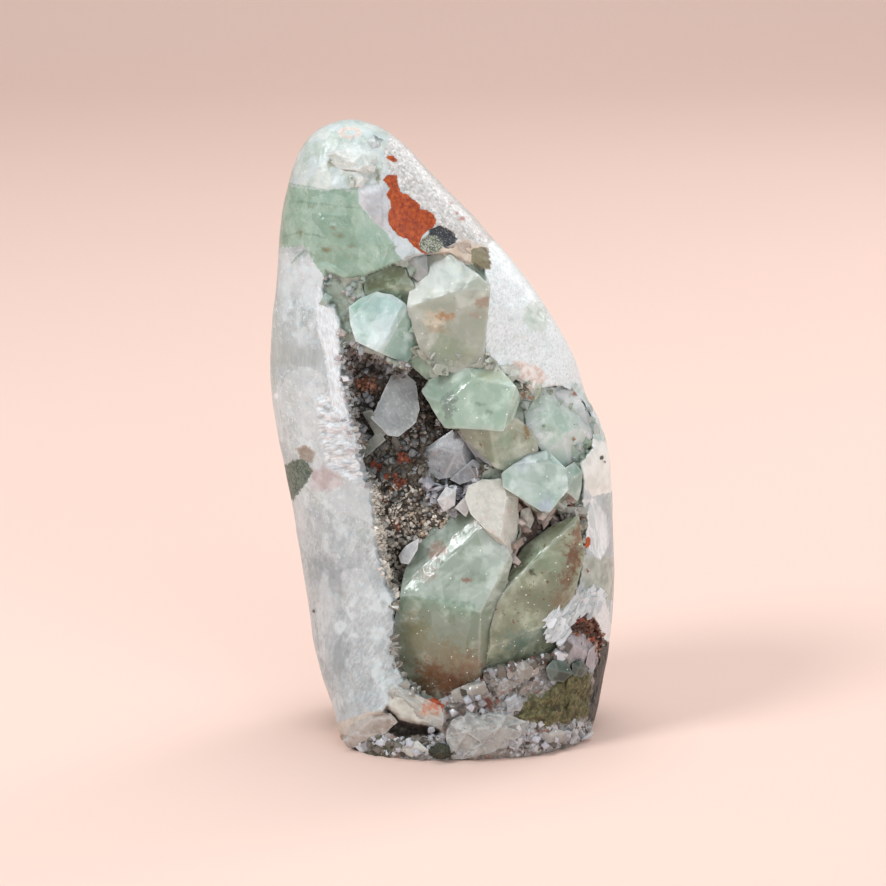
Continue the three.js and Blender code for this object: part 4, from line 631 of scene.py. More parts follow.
rocky = fbm(BASE, 0.45, 5, 51, 0.55)
GX, GZ = U0 / 4.54, V0 / 4.54
wob = fbm(BASE, 0.6, 3, 61) * 0.7
tips_field, id_field = crust(GX + wob, GZ - wob, 3.4, 201, 0.9, 0.35, 0.9)
tips_fine, id_fine = crust(GX + wob, GZ + wob, 1.25, 211, 1.1, 0.3, 0.8)
tips_vug, id_vug = crust(GX - wob, GZ + wob, 2.3, 221, 1.2, 0.2, 0.9)
dep = np.maximum.reduce([
    smooth(sd_field, -0.15, 0.7) * (2.9 + 1.5 * smooth(V0, 330, 480) + rocky * 0.35 - tips_field * 0.55 - tips_fine * 0.15),
    smooth(sd_vug, 0.1, 2.6) * (11.8 + rocky * 1.4 - tips_vug * 0.6 - tips_fine * 0.35),
    smooth(sd_gap, 0.1, 2.0) * (9.5 + rocky * 0.8 - tips_fine * 0.5),
    smooth(sd_cave, 0.0, 1.8) * (5.6 + rocky * 0.7 - tips_fine * 0.5),
    smooth(sd_arch, 0.0, 1.6) * (4.6 + rocky * 0.6 - tips_fine * 0.5),
    smooth(sd_foot, -0.2, 0.9) * (2.0 + rocky * 0.8 - tips_vug * 0.35 - tips_fine * 0.45),
])
# the floor stays behind the faces of the large crystals
_near = FRONT & (sd_field > -1.2)
_y = np.full(U0.shape, np.inf)
_y[_near] = entry_depth(U0[_near], V0[_near])
_behind = np.where(np.isfinite(_y), (_y - BASE[..., 1]) + 2.2, 0)
dep = np.maximum(dep, np.clip(_behind, 0, 9.5))
# broken natural skin also on the basalt of the back
XB, ZB = BASE[..., 0], BASE[..., 2]
sd_back = np.minimum(smooth(ysid, 2.0, 9.0) * 30 - 12,
                     21.0 - np.hypot((XB - 4 - 0.05 * (ZB - 45)) * 0.95, (ZB - 44) * 0.46)) + fbm(BASE, 0.11, 4, 71) * 7.0
sd_back = np.where(FRONT, -9.0, sd_back + fbm(BASE, 0.5, 3, 73) * 1.6)
b1, b2, bid = worley(BASE, 0.28, 77)
vesicle = smooth(0.36 - b1, 0.0, 0.2) * (bid > 0.45)
back_rough = smooth(sd_back, -0.5, 1.6)
slab_b, slab_id = crust(XB + fbm(BASE, 0.3, 3, 75) * 2.0, ZB + fbm(BASE, 0.3, 3, 76) * 2.0, 8.0, 241, 0.75, 0.3, 0.8)
chip_b, chip_id = crust(XB + fbm(BASE, 0.6, 2, 78), ZB, 3.2, 243, 0.9, 0.3, 0.9)
polish = 1 - np.clip(smooth(sd_field, -0.3, 0.4) + smooth(sd_foot, -0.3, 0.4) + back_rough, 0, 1)
dep = np.where(FRONT, dep * front_gate, 0)
# low steps and dents that polishing left
sd_ribbon = sd_mm(ZONES["ribbon"])
low_slab = smooth(V0, 520, 640) * smooth(-(U0 - 440), 0, 40)
_pw = fbm(BASE, 0.25, 3, 233) * 1.6
plate, id_plate = crust(GX * 0.9 + GZ * 0.35 + _pw, GZ * 0.75 - GX * 0.3 + _pw, 7.5, 231, 0.5, 0.45, 0.3)
dent = -0.25 * smooth(sd_ribbon, -0.3, 0.5) * (1 + fbm(BASE, 0.9, 3, 82) * 1.2) + 0.22 * smooth(fbm(BASE, 0.22, 4, 81), 0.22, 0.34)
dent = dent + 0.12 * smooth(fbm(BASE, (0.14, 0.14, 0.07), 4, 83), 0.05, 0.4) + (0.2 + 0.75 * low_slab) * (1.4 - plate * 0.34 + (id_plate - 0.5) * 0.5)
dent = dent + (0.06 + 0.12 * low_slab) * fbm(BASE, 0.9, 4, 85)
dent = dent + 0.35 * smooth(sd_mm(ZONES["celadon"]), -0.2, 0.8) + 0.22 * smooth(sd_mm(ZONES["orange"]), -0.3, 0.4)
dent = dent + 0.5 * smooth(sd_mm(ZONES["black"]), -0.3, 0.6)
dent = dent - 0.9 * smooth(sd_mm(ZONES["cream"], False), 0.0, 2.6)
_rc = sd_mm(ZONES["rimcurve"], False)
dent = dent - 0.35 * np.cos(_rc * 2.6) * smooth(_rc, 0.0, 0.8) + 0.25 * smooth(_rc, 0, 0.4)
dent = dent + 0.5 * smooth(sd_mm(ZONES["slabbrown"]), -0.2, 0.6)
dent = dent - (0.55 + 0.5 * fbm(BASE, 0.5, 4, 86)) * smooth(sd_mm(ZONES["lilac"], False), 0.0, 1.6)
dep = dep + np.where(FRONT, dent * polish * front_gate, 0)
sd_ribs = sd_mm(ZONES["ribs"])
dep = dep + np.where(FRONT, smooth(sd_ribs, -0.2, 1.0) * polish * (0.3 + 0.55 * np.tanh(2.5 * fbm(BASE, (0.3, 0.3, 0.75), 4, 88)) + 0.3 * fbm(BASE, 0.8, 3, 89)), 0)
sd_edge = sd_mm(ZONES["edge"])
dep = dep + np.where(FRONT, smooth(sd_edge, -0.2, 0.9) * front_gate * (0.9 + rocky * 0.8 - tips_fine * 0.5), 0)
sd_olive = sd_mm(ZONES["olive"])
dep = dep - np.where(FRONT, smooth(sd_olive, -0.2, 1.2) * (0.9 + 0.9 * fbm(BASE, 0.7, 4, 87)), 0)

POS = BASE.copy()
fm = FRONT & (np.abs(dep) > 1e-4)
POS[fm] = P(U0[fm], V0[fm], BASE[..., 1][fm] + dep[fm])
# normals of the smooth form, for relief that is not along the line of sight
def grid_normals(pos):
    du = np.roll(pos, -1, axis=1) - np.roll(pos, 1, axis=1)
    dv = np.empty_like(pos)
    dv[1:-1] = pos[2:] - pos[:-2]
    dv[0] = pos[1] - pos[0]
    dv[-1] = pos[-1] - pos[-2]
    n = np.cross(du, dv)
    n /= np.linalg.norm(n, axis=-1, keepdims=True) + 1e-12
    return n

N0 = grid_normals(BASE)
low = smooth(ZB, 0.2, 3.0)
amount = (polish * (fbm(BASE, 0.12, 3, 91) * 0.10 + fbm(BASE, 0.8, 2, 95) * 0.012)
          + back_rough * (fbm(BASE, 0.16, 3, 98) * 1.1 + fbm(BASE, 0.6, 4, 97) * 0.4 - 2.3 + slab_b * 0.22 + chip_b * 0.16 - vesicle * 1.6)) * low
POS = POS + N0 * amount[..., None]
POS[..., 2] = np.maximum(POS[..., 2], 0.0)
POS[0, :, 2] = 0.0
NRM = grid_normals(POS)

# ---------------------------------------------------------------- the stone: marks as signed distances, mm
ALL_ROUND = {"green", "paletop", "sugary", "silky", "bluish", "cream", "edge"}
# how each mark wraps onto the sides: the front outlines carry through, bent by noise
_turn = smooth(ysid, -2.0, 12.0)
WRAPU = U0 + _turn * fbm(BASE, 0.05, 4, 101) * 44
WRAPV = V0 + _turn * fbm(BASE, 0.05, 4, 103) * 50
marks = {}
for key, poly in ZONES.items():
    if key in ALL_ROUND:
        d = sdpoly(WRAPU + warp[..., 0], WRAPV + warp[..., 1], poly) / 4.54
    else:
        d = sdpoly(U0 + warp[..., 0] * 0.6, V0 + warp[..., 1] * 0.6, poly) / 4.54
        d = d - smooth(ysid + fbm(BASE, 0.3, 3, 105) * 3, 0.5, 7.0) * 7
    marks[key] = np.clip(d, -4, 8)
_shut = (1 - smooth(-ysid, 0.0, 2.5)) * 7
for _key, _sd in (("vug", sd_vug), ("field", sd_field), ("gap", sd_gap), ("cave", sd_cave)):
    marks[_key] = np.clip(np.where(FRONT, _sd - _shut, -4), -4, 8)
marks["field"] = np.clip(marks["field"] - 6 * smooth(-(U0 - 412), 0, 12) * smooth(V0, 346, 362) * (1 - smooth(V0, 590, 610)), -4, 8)
marks["foot"] = np.clip(np.where(FRONT, sd_foot, -4) - smooth(ysid + fbm(BASE, 0.3, 3, 106) * 2.5, -4.0, 0.0) * 6, -4, 8)
marks["basalt"] = np.clip(np.where(FRONT, -4, sd_back), -4, 8)
def dots(spots):
    """Small marks: ellipses (u, v, half width, half height) joined in one distance field."""
    out = np.full(U0.shape, -4.0)
    for u, v, a, b in spots:
        e = np.sqrt(((U0 + warp[..., 0] * 0.5 - u) / a) ** 2 + ((V0 + warp[..., 1] * 0.5 - v) / b) ** 2)
        out = np.maximum(out, np.where(FRONT, (1 - e) * min(a, b) / 4.54, -4))
    return np.clip(out, -4, 8)
marks["brown"] = dots([(325, 250, 3.4, 2.2), (340, 236, 3.0, 1.6), (352, 247, 2.2, 1.6), (333, 228, 1.8, 1.4), (543, 402, 4.5, 4.5), (572, 392, 3.6, 3.6), (331, 164, 2.6, 3.4), (378, 178, 2.0, 5.0), (312, 206, 2.0, 1.4), (300, 233, 1.8, 3.0)])
marks["ink"] = dots([(602, 457, 2.0, 2.2), (539, 376, 2.4, 2.6), (605, 462, 1.2, 1.4), (314, 611, 1.8, 1.8), (536, 371, 1.4, 1.6), ])
marks["red"] = dots([(462, 218, 3.2, 2.0), (457, 213, 1.6, 1.4), (433, 250, 2.0, 3.0), (451, 203, 1.4, 1.2), (487, 229, 1.4, 1.4), (480, 236, 1.2, 1.2), (574, 555, 2.6, 6.5), (570, 575, 2.2, 5.0)])
marks["bright"] = dots([(286, 242, 4.0, 5.0), (276, 396, 2.4, 2.6), (300, 200, 2.0, 1.4), (283, 208, 1.6, 3.0), (318, 204, 1.6, 1.2)])
def areas(polys):
    """Broad patches of another tone, joined in one distance field; some are painted light and painted shade on the
    slab's facets.
    """
    out = np.full(U0.shape, -4.0)
    for poly in polys:
        out = np.maximum(out, sdpoly(U0 + warp[..., 0], V0 + warp[..., 1], poly) / 4.54)
    out = out - smooth(ysid + fbm(BASE, 0.3, 3, 105) * 3, 0.5, 7.0) * 7
    return np.clip(np.where(FRONT, out, -4), -4, 8)
# lighter and darker slab patches: painted light on lit cleavage facets and painted shade in dips and on facets turned
# from the light, partly also pale and grey streaks
_light = areas([[(346, 606), (372, 582), (392, 596), (394, 614), (370, 611), (350, 622)], [(348, 636), (372, 625), (395, 630), (397, 641), (372, 639)], [(366, 664), (384, 650), (402, 700), (386, 706)], [(318, 718), (350, 678), (361, 684), (338, 722)], [(316, 652), (338, 620), (346, 626), (326, 662)], [(283, 440), (300, 436), (313, 446), (311, 456), (290, 452)]])
_dark = areas([[(302, 560), (322, 556), (345, 566), (352, 582), (344, 594), (326, 590), (308, 578)], [(312, 640), (338, 632), (352, 646), (344, 672), (326, 676)], [(346, 470), (340, 486), (322, 480), (316, 468)], [(384, 640), (396, 640), (398, 662), (386, 656)]])
_cream = areas([[(300, 492), (318, 484), (346, 496), (366, 510), (372, 545), (374, 562), (350, 556), (322, 556), (304, 540)]])
_upper = areas([[(285, 255), (322, 262), (326, 330), (300, 345), (275, 340), (278, 300)]])
marks["tonal"] = (0.62 * smooth(_light, -0.25, 0.35) + 0.3 * smooth(_cream, -0.7, 1.0) + 0.5 * smooth(_upper, -1.2, 2.4) - 0.62 * smooth(_dark, -1.6, 2.0)) * (1 + fbm(BASE, 0.7, 4, 122)) + 0.45 * np.tanh(2.5 * fbm(BASE, (0.35, 0.35, 0.22), 4, 121))
def strokes(lines, half):
    out = np.full(U0.shape, -4.0)
    uu, vv = U0 + warp[..., 0] * 0.45, V0 + warp[..., 1] * 0.45
    for line in lines:
        for (x0, y0), (x1, y1) in zip(line[:-1], line[1:]):
            ex, ey = x1 - x0, y1 - y0
            t = np.clip(((uu - x0) * ex + (vv - y0) * ey) / (ex * ex + ey * ey), 0, 1)
            out = np.maximum(out, half - np.hypot(uu - x0 - ex * t, vv - y0 - ey * t) / 4.54)
    return np.clip(np.where(FRONT, out, -4), -4, 8)
marks["line"] = strokes([[(290, 183), (310, 187), (330, 191), (358, 188)], [(298, 201), (318, 204), (340, 206), (362, 209)], [(283, 236), (300, 232), (326, 238)], [(292, 262), (305, 250), (316, 256)], [(384, 258), (396, 247)]], 0.16)
_e = np.sqrt(((U0 + warp[..., 0] * 0.5 - 350) / 8.5) ** 2 + ((V0 + warp[..., 1] * 0.5 - 132.5) / 4.2) ** 2)
marks["ring"] = np.clip(np.where(FRONT, 0.3 - np.abs(_e - 1) * 1.1, -4), -4, 8)
# the foot is basalt all round, with an uneven upper edge on the sides and back
foot_edge = 7.0 + fbm(BASE, 0.07, 4, 107) * 9 + smooth(ysid, -5, 12) * 7
marks["footband"] = np.clip(foot_edge - ZB - smooth(-ysid + fbm(BASE, 0.2, 3, 109) * 3, 4.0, 11.0) * 20, -4, 8)
marks["depth"] = np.clip(dep, 0, 14)
marks["tip"] = np.where(FRONT, np.where(sd_field > 0, id_field, id_vug), chip_id)
marks["vesicle"] = vesicle * np.clip(back_rough + smooth(marks["footband"], -0.3, 0.5), 0, 1)

# ---------------------------------------------------------------- the stone: material
def stone_material():
    s = Shader("stone")
    v = s.coords()
    e1 = s.noise(v, 1.1, 4, 0.62)
    e2 = s.noise(v, 4.5, 3, 0.6)
    jit = s.math("ADD", s.math("MULTIPLY", s.math("SUBTRACT", e1, 0.5), 2.6), s.math("MULTIPLY", s.math("SUBTRACT", e2, 0.5), 0.9))

    def mask(name, soft=0.14, amp=0.5, bias=0.0):
        d = s.attr("m_" + name)
        d = s.math("ADD", d, s.math("MULTIPLY", jit, amp))
        return s.remap(d, -soft - bias, soft - bias)

    # fibres of the silky stilbite, and broad cloudy patches in it
    fib_v = s.coords((2.6, 2.6, 0.22), (0.0, math.radians(14), 0.0))
    fib = s.noise(fib_v, 1.0, 4, 0.6, 0.4)
    fib2 = s.noise(s.coords((1.0, 1.0, 0.12), (0.0, math.radians(9), 0.0)), 1.0, 3, 0.6, 0.8)
    cloud = s.noise(v, 0.11, 4, 0.55, 0.6)
    cloud2 = s.noise(v, 0.32, 4, 0.6, 0.3)
    grain = s.noise(v, 6.0, 4, 0.65)
    veil = s.noise(s.coords((1.0, 1.0, 0.5), (0.2, 0.5, 0.1)), 0.17, 6, 0.6, 0.6)
    crack = s.remap(s.math("ABSOLUTE", s.math("SUBTRACT", veil, 0.5)), 0.0, 0.009, 1.0, 0.0)
    veil2 = s.noise(s.coords((1.0, 1.0, 0.7), (0.9, 0.1, 0.4)), 0.3, 6, 0.65, 0.8)
    shadow = s.remap(s.math("ABSOLUTE", s.math("SUBTRACT", veil2, 0.52)), 0.0, 0.008, 1.0, 0.0)
    sugar = s.noise(v, 2.6, 4, 0.7)
    col = s.ramp(fib, [(0.28, lin(174, 184, 182)), (0.5, lin(188, 197, 196)), (0.75, lin(206, 214, 216))])
    # straight-sided cleavage blocks of slightly different tone
    leaf = s.voronoi(s.coords((1.0, 1.0, 0.42), (0.2, math.radians(13), 0.1)), 0.16, "F1", "Color")
    lsep = s.node("ShaderNodeSeparateColor")
    s.link(leaf, lsep.inputs[0])
    col = s.mix(s.remap(lsep.outputs[0], 0.5, 0.75, 0.0, 0.5), col, lin(212, 218, 218))
    col = s.mix(s.remap(lsep.outputs[1], 0.55, 0.8, 0.0, 0.5), col, lin(170, 178, 178))
    leaf2 = s.voronoi(s.coords((1.0, 1.0, 0.6), (0.5, math.radians(-30), 0.3)), 0.42, "F1", "Color")
    lsep2 = s.node("ShaderNodeSeparateColor")
    s.link(leaf2, lsep2.inputs[0])
    col = s.mix(s.remap(lsep2.outputs[0], 0.6, 0.8, 0.0, 0.4), col, lin(222, 227, 228))
    col = s.mix(s.remap(lsep2.outputs[2], 0.66, 0.8, 0.0, 0.3), col, lin(160, 168, 170))
    col = s.mix(s.remap(cloud, 0.50, 0.60, 0.0, 0.65), col, lin(174, 184, 176))
    col = s.mix(s.remap(s.noise(v, 0.2, 5, 0.65, 0.4), 0.54, 0.64, 0.0, 0.55), col, lin(176, 184, 192))
    col = s.mix(s.remap(cloud2, 0.56, 0.66, 0.0, 0.6), col, lin(220, 225, 227))
    col = s.mix(s.remap(s.noise(v, 0.75, 6, 0.75, 0.2), 0.54, 0.62, 0.0, 0.75), col, lin(238, 243, 245))
    col = s.mix(s.remap(sugar, 0.54, 0.7, 0.0, 0.65), col, lin(240, 244, 245))
    col = s.mix(s.remap(sugar, 0.45, 0.3, 0.0, 0.6), col, lin(142, 151, 152))
    col = s.mix(s.remap(s.noise(s.coords((1.0, 1.0, 1.0), (0.3, 0.1, 0.8)), 0.6, 6, 0.75, 0.2), 0.55, 0.63, 0.0, 0.5), col, lin(150, 160, 166))
    col = s.mix(s.math("MULTIPLY", crack, 0.5), col, lin(238, 241, 242))
    col = s.mix(s.math("MULTIPLY", shadow, 0.3), col, lin(140, 146, 150))
    gl = s.voronoi(v, 0.8)
    glc = s.voronoi(v, 0.8, "F1", "Color")
    gls = s.node("ShaderNodeSeparateColor")
    s.link(glc, gls.inputs[0])
    glint = s.math("MULTIPLY", s.remap(gl, 0.10, 0.17, 1.0, 0.0), s.remap(gls.outputs[0], 0.7, 0.72))
    col = s.mix(s.math("MULTIPLY", glint, 0.8), col, lin(252, 253, 253))
    rough = s.mixf(s.remap(cloud2, 0.35, 0.7), 0.30, 0.44)

    def lay(name, new, r=None, **kw):
        nonlocal col, rough
        m = mask(name, **kw)
        col = s.mix(m, col, new)
        if r is not None:
            rough = s.mixf(m, rough, r)
        return m

    two = lambda a, b, n, lo=0.35, hi=0.65: s.mix(s.remap(n, lo, hi), a, b)
    # slab marks
    lay("band", two(lin(170, 176, 171), lin(190, 194, 190), fib), soft=0.9, amp=1.0)
    # lower slab: crossing cleavage at a slant, with grey and white planes
    sepz = s.node("ShaderNodeSeparateXYZ")
    s.link(v, sepz.inputs[0])
    lowm = s.remap(s.math("ADD", sepz.outputs[2], s.math("MULTIPLY", s.math("SUBTRACT", cloud2, 0.5), 30.0)), 62.0, 40.0)
    diag = s.noise(s.coords((1.5, 1.5, 0.3), (0.0, math.radians(-36), 0.0)), 0.8, 5, 0.65, 0.8)
    dcol = s.ramp(diag, [(0.3, lin(126, 134, 140)), (0.43, lin(158, 166, 170)), (0.52, lin(182, 188, 191)), (0.6, lin(202, 208, 211)), (0.72, lin(230, 234, 237))])
    col = s.mix(s.math("MULTIPLY", lowm, 0.55), col, dcol)
    cut = s.voronoi(s.coords((1.0, 1.0, 0.55), (0.3, 0.9, 0.2)), 0.13, "F1", "Color")
    csep = s.node("ShaderNodeSeparateColor")
    s.link(cut, csep.inputs[0])
    col = s.mix(s.remap(csep.outputs[0], 0.55, 0.7, 0.0, 0.35), col, lin(170, 178, 182))
    col = s.mix(s.remap(csep.outputs[1], 0.6, 0.75, 0.0, 0.4), col, lin(222, 227, 229))
    tonal = s.attr("m_tonal")
    # painted light and painted shade on the slab's facets (m_tonal), over random tone
    col = s.mix(s.remap(tonal, 0.1, 1.0, 0.0, 0.7), col, lin(224, 234, 236))
    col = s.mix(s.remap(tonal, -0.1, -1.0, 0.0, 0.6), col, lin(134, 142, 146))
    col = s.mix(0.12, col, lin(160, 184, 192))
    ribn = s.noise(s.coords((0.5, 0.5, 1.5), (0.1, math.radians(14), 0.0)), 0.8, 5, 0.7, 0.3)
    lay("ribs", s.ramp(ribn, [(0.32, lin(154, 162, 168)), (0.46, lin(196, 203, 207)), (0.56, lin(226, 231, 234)), (0.7, lin(246, 249, 250))]), 0.3, soft=0.6, amp=0.9)
    lay("bright", lin(244, 247, 247), 0.2, soft=0.3, amp=0.5)
    lay("ribbon", two(lin(208, 216, 220), lin(238, 244, 248), fib), 0.5, soft=0.25, amp=0.8)
    # crown: green polished apophyllite under a pale cap
    gcell = s.voronoi(s.coords((1, 1, 1), (0.4, 0.2, 0.7)), 0.16, "F1", "Color")
    gsep = s.node("ShaderNodeSeparateColor")
    s.link(gcell, gsep.inputs[0])
    g1 = two(lin(138, 164, 146), lin(172, 192, 176), cloud2, 0.3, 0.7)
    g1 = s.mix(s.remap(gsep.outputs[0], 0.2, 0.9, 0.0, 0.45), g1, lin(158, 184, 170))
    g1 = s.mix(s.remap(sugar, 0.54, 0.74, 0.0, 0.4), g1, lin(206, 220, 210))
    g1 = s.mix(s.math("MULTIPLY", crack, 0.4), g1, lin(206, 218, 208))
    fleck = s.remap(s.noise(v, 1.6, 3, 0.6, 0.2), 0.66, 0.74, 0.0, 0.7)
    g1 = s.mix(fleck, g1, lin(128, 118, 84))
    g1 = s.mix(s.remap(gsep.outputs[2], 0.5, 0.8, 0.0, 0.45), g1, lin(126, 152, 134))
    lay("green", g1, 0.16, soft=0.2, amp=0.6)
    gp = two(lin(182, 194, 188), lin(212, 217, 212), cloud2, 0.35, 0.62)
    gp = s.mix(s.remap(gsep.outputs[1], 0.55, 0.8, 0.0, 0.5), gp, lin(166, 184, 172))
    gp = s.mix(s.math("MULTIPLY", crack, 0.5), gp, lin(230, 232, 230))
    gp = s.mix(s.remap(sugar, 0.56, 0.7, 0.0, 0.5), gp, lin(236, 239, 238))
    gp = s.mix(s.remap(s.noise(v, 0.26, 4, 0.6, 0.5), 0.5, 0.6, 0.0, 0.5), gp, lin(196, 208, 214))
    lay("paletop", gp, 0.24, soft=0.3, amp=1.1)
    lay("line", two(lin(120, 144, 126), lin(148, 170, 154), cloud2), soft=0.3, amp=0.35)
    lay("brown", two(lin(108, 106, 78), lin(134, 132, 102), e1), 0.4, soft=0.5, amp=0.8)
    lay("ring", two(lin(206, 168, 154), lin(228, 210, 202), e1), 0.4, soft=0.35, amp=0.8)
    lay("lilac", two(lin(180, 182, 186), lin(208, 210, 214), cloud2), 0.25, soft=0.4, amp=0.6)
    sug_c = s.voronoi(v, 1.9, "F1", "Color")
    ssep = s.node("ShaderNodeSeparateColor")
    s.link(sug_c, ssep.inputs[0])
    sug = s.ramp(ssep.outputs[0], [(0.0, lin(170, 168, 164)), (0.3, lin(194, 192, 189)), (0.7, lin(210, 208, 205)), (1.0, lin(234, 233, 231))])
    sug = s.mix(s.remap(grain, 0.45, 0.7, 0.0, 0.35), sug, lin(240, 240, 238))
    sug = s.mix(s.remap(s.noise(v, 0.5, 3, 0.6), 0.6, 0.7, 0.0, 0.5), sug, lin(200, 184, 172))
    lay("sugary", sug, 0.32, soft=0.2, amp=0.7)
    # right rim
    sil_f = s.noise(s.coords((2.4, 2.4, 0.35), (0.0, math.radians(-38), 0.0)), 1.0, 4, 0.6, 0.5)
    sil = s.ramp(sil_f, [(0.3, lin(200, 210, 208)), (0.44, lin(226, 233, 233)), (0.56, lin(242, 246, 248)), (0.7, lin(254, 255, 255))])
    sil = s.mix(s.remap(cloud2, 0.54, 0.68, 0.0, 0.45), sil, lin(198, 208, 200))
    sil = s.mix(s.remap(sugar, 0.56, 0.72, 0.0, 0.6), sil, lin(253, 253, 253))
    lay("silky", sil, 0.3, soft=0.2, amp=0.5)
    lay("silkgreen", two(lin(196, 208, 198), lin(218, 226, 218), cloud2), 0.2, soft=1.0, amp=1.2)
    lay("bluish", two(lin(186, 206, 200), lin(228, 238, 242), cloud2, 0.35, 0.62), 0.25, soft=0.4, amp=0.7)
    lay("cream", two(lin(224, 226, 220), lin(244, 246, 242), cloud2), 0.3, soft=0.2, amp=0.3)
    lay("ink", lin(58, 60, 58), 0.4, soft=0.15, amp=0.25)
    lay("red", two(lin(132, 60, 44), lin(176, 108, 88), e1), 0.4, soft=0.3, amp=0.5)
    lay("rimgreen", two(lin(150, 160, 150), lin(188, 194, 186), cloud2), 0.22, soft=0.5, amp=0.7)
    lay("rimcurve", two(lin(208, 215, 216), lin(246, 250, 252), fib2), 0.3, soft=0.3, amp=0.4)
    # small coloured marks
    lay("slabpink", two(lin(180, 170, 170), lin(206, 200, 201), cloud2), soft=0.8, amp=1.3)
    lay("slabbrown", two(lin(142, 132, 120), lin(168, 160, 150), e1), soft=0.3, amp=0.8)
    cel = two(lin(70, 84, 74), lin(112, 128, 114), e1, 0.4, 0.62)
    cel = s.mix(s.remap(grain, 0.6, 0.7, 0.0, 0.7), cel, lin(150, 156, 146))
    lay("celadon", cel, 0.5, soft=0.14, amp=0.7)
    lay("beige", two(lin(206, 184, 164), lin(222, 206, 190), cloud2), 0.3, soft=0.3, amp=0.6)
    lay("oliveface", two(lin(118, 108, 84), lin(150, 142, 116), cloud2), 0.25, soft=0.2, amp=0.5)
    org = s.ramp(e1, [(0.32, lin(124, 40, 8)), (0.5, lin(166, 66, 12)), (0.66, lin(188, 90, 30))])
    org = s.mix(s.remap(grain, 0.58, 0.7, 0.0, 0.35), org, lin(212, 128, 84))
    for o in ("orange", "orange_b", "orange_c", "orange_d"):
        lay(o, org, 0.5, soft=0.12, amp=0.45)
    blk = s.mix(s.remap(s.noise(v, 3.4, 3, 0.6), 0.54, 0.62), lin(48, 50, 54), lin(128, 132, 134))
    lay("black", blk, 0.5, soft=0.12, amp=0.4)
    spk = s.mix(s.remap(s.noise(v, 3.0, 3, 0.6), 0.46, 0.56), lin(92, 96, 84), lin(172, 176, 160))
    lay("speck", spk, 0.5, soft=0.12, amp=0.4)
    lay("pinkpatch", two(lin(218, 194, 182), lin(238, 230, 224), s.noise(v, 0.8, 4, 0.65), 0.4, 0.6), 0.4, soft=0.4, amp=1.0)
    # rough natural rock: field floor, foot, vug, basalt
    rk_n = s.noise(v, 0.9, 5, 0.65, 0.3)
    field_c = s.ramp(rk_n, [(0.3, lin(104, 112, 98)), (0.45, lin(140, 152, 138)), (0.6, lin(166, 176, 164)), (0.75, lin(196, 202, 194))])
    tip = s.attr("m_tip")
    field_c = s.mix(s.remap(tip, 0.3, 0.7, 0.0, 0.6), field_c, lin(168, 180, 168))
    field_c = s.mix(s.remap(tip, 0.8, 0.95, 0.0, 0.7), field_c, lin(200, 206, 200))
    lay("field", field_c, 0.6, soft=0.12, amp=0.35, bias=-0.25)
    foot_c = s.ramp(rk_n, [(0.28, lin(98, 92, 84)), (0.42, lin(140, 134, 126)), (0.58, lin(172, 168, 164)), (0.72, lin(200, 198, 196))])
    foot_c = s.mix(s.remap(s.noise(v, 0.7, 3, 0.6), 0.58, 0.66, 0.0, 0.8), foot_c, lin(150, 96, 76))
    lay("foot", foot_c, 0.6, soft=0.12, amp=0.4)
    vug_c = s.ramp(rk_n, [(0.28, lin(34, 34, 32)), (0.44, lin(66, 62, 56)), (0.58, lin(98, 88, 78)), (0.74, lin(134, 122, 110))])
    vug_c = s.mix(s.remap(s.noise(v, 0.33, 3, 0.6, 0.3), 0.60, 0.66, 0.0, 0.85), vug_c, lin(138, 62, 34))
    lay("vug", vug_c, 0.6, soft=0.12, amp=0.4, bias=-1.1)
    lay("gap", two(lin(98, 84, 74), lin(150, 128, 118), rk_n), 0.6, soft=0.2, amp=0.4, bias=-0.8)
    lay("cave", two(lin(58, 52, 46), lin(104, 94, 86), rk_n), 0.6, soft=0.2, amp=0.3, bias=-0.5)
    bas_n = s.noise(v, 1.6, 5, 0.7)
    bas = s.ramp(bas_n, [(0.3, lin(66, 63, 58)), (0.5, lin(98, 94, 87)), (0.66, lin(122, 120, 110)), (0.8, lin(154, 150, 138))])
    tipb = s.attr("m_tip")
    bas = s.mix(s.remap(tipb, 0.2, 0.9, 0.0, 0.4), bas, lin(130, 124, 112))
    bas = s.mix(s.remap(s.noise(v, 0.16, 4, 0.6, 0.6), 0.50, 0.62, 0.0, 0.75), bas, lin(96, 104, 84))
    bas = s.mix(s.remap(s.noise(v, 0.22, 4, 0.6, 0.9), 0.56, 0.66, 0.0, 0.7), bas, lin(124, 92, 74))
    bas = s.mix(s.remap(s.noise(v, 0.3, 5, 0.66, 0.5), 0.58, 0.66, 0.0, 0.8), bas, lin(186, 184, 176))
    amy = s.voronoi(v, 0.42)
    bas = s.mix(s.remap(s.math("ADD", amy, s.math("MULTIPLY", s.math("SUBTRACT", e1, 0.5), 0.4)), 0.15, 0.21, 0.85, 0.0), bas, lin(88, 104, 86))
    bas = s.mix(s.remap(s.math("ADD", amy, s.math("MULTIPLY", s.math("SUBTRACT", e1, 0.5), 0.4)), 0.07, 0.12, 0.95, 0.0), bas, lin(212, 213, 206))
    lay("footband", bas, 0.55, soft=0.15, amp=0.8)
    lay("basalt", bas, 0.6, soft=0.15, amp=0.8)
    ves = s.attr("m_vesicle")
    col = s.mix(s.math("MULTIPLY", ves, 0.75), col, lin(196, 200, 194))
    lay("creamfoot", two(lin(188, 180, 168), lin(212, 200, 190), cloud2), 0.5, soft=0.2, amp=0.6)
    lay("darkfoot", two(lin(70, 72, 58), lin(110, 108, 88), e1), 0.6, soft=0.2, amp=0.8)
    olv = s.ramp(e1, [(0.3, lin(58, 56, 34)), (0.48, lin(98, 94, 62)), (0.62, lin(128, 124, 84)), (0.76, lin(158, 152, 116))])
    olv = s.mix(s.remap(s.noise(v, 0.35, 4, 0.65, 0.4), 0.52, 0.62, 0.0, 0.7), olv, lin(64, 54, 38))
    olv = s.mix(s.remap(grain, 0.6, 0.7, 0.0, 0.6), olv, lin(176, 172, 132))
    lay("olive", olv, 0.6, soft=0.2, amp=1.2)
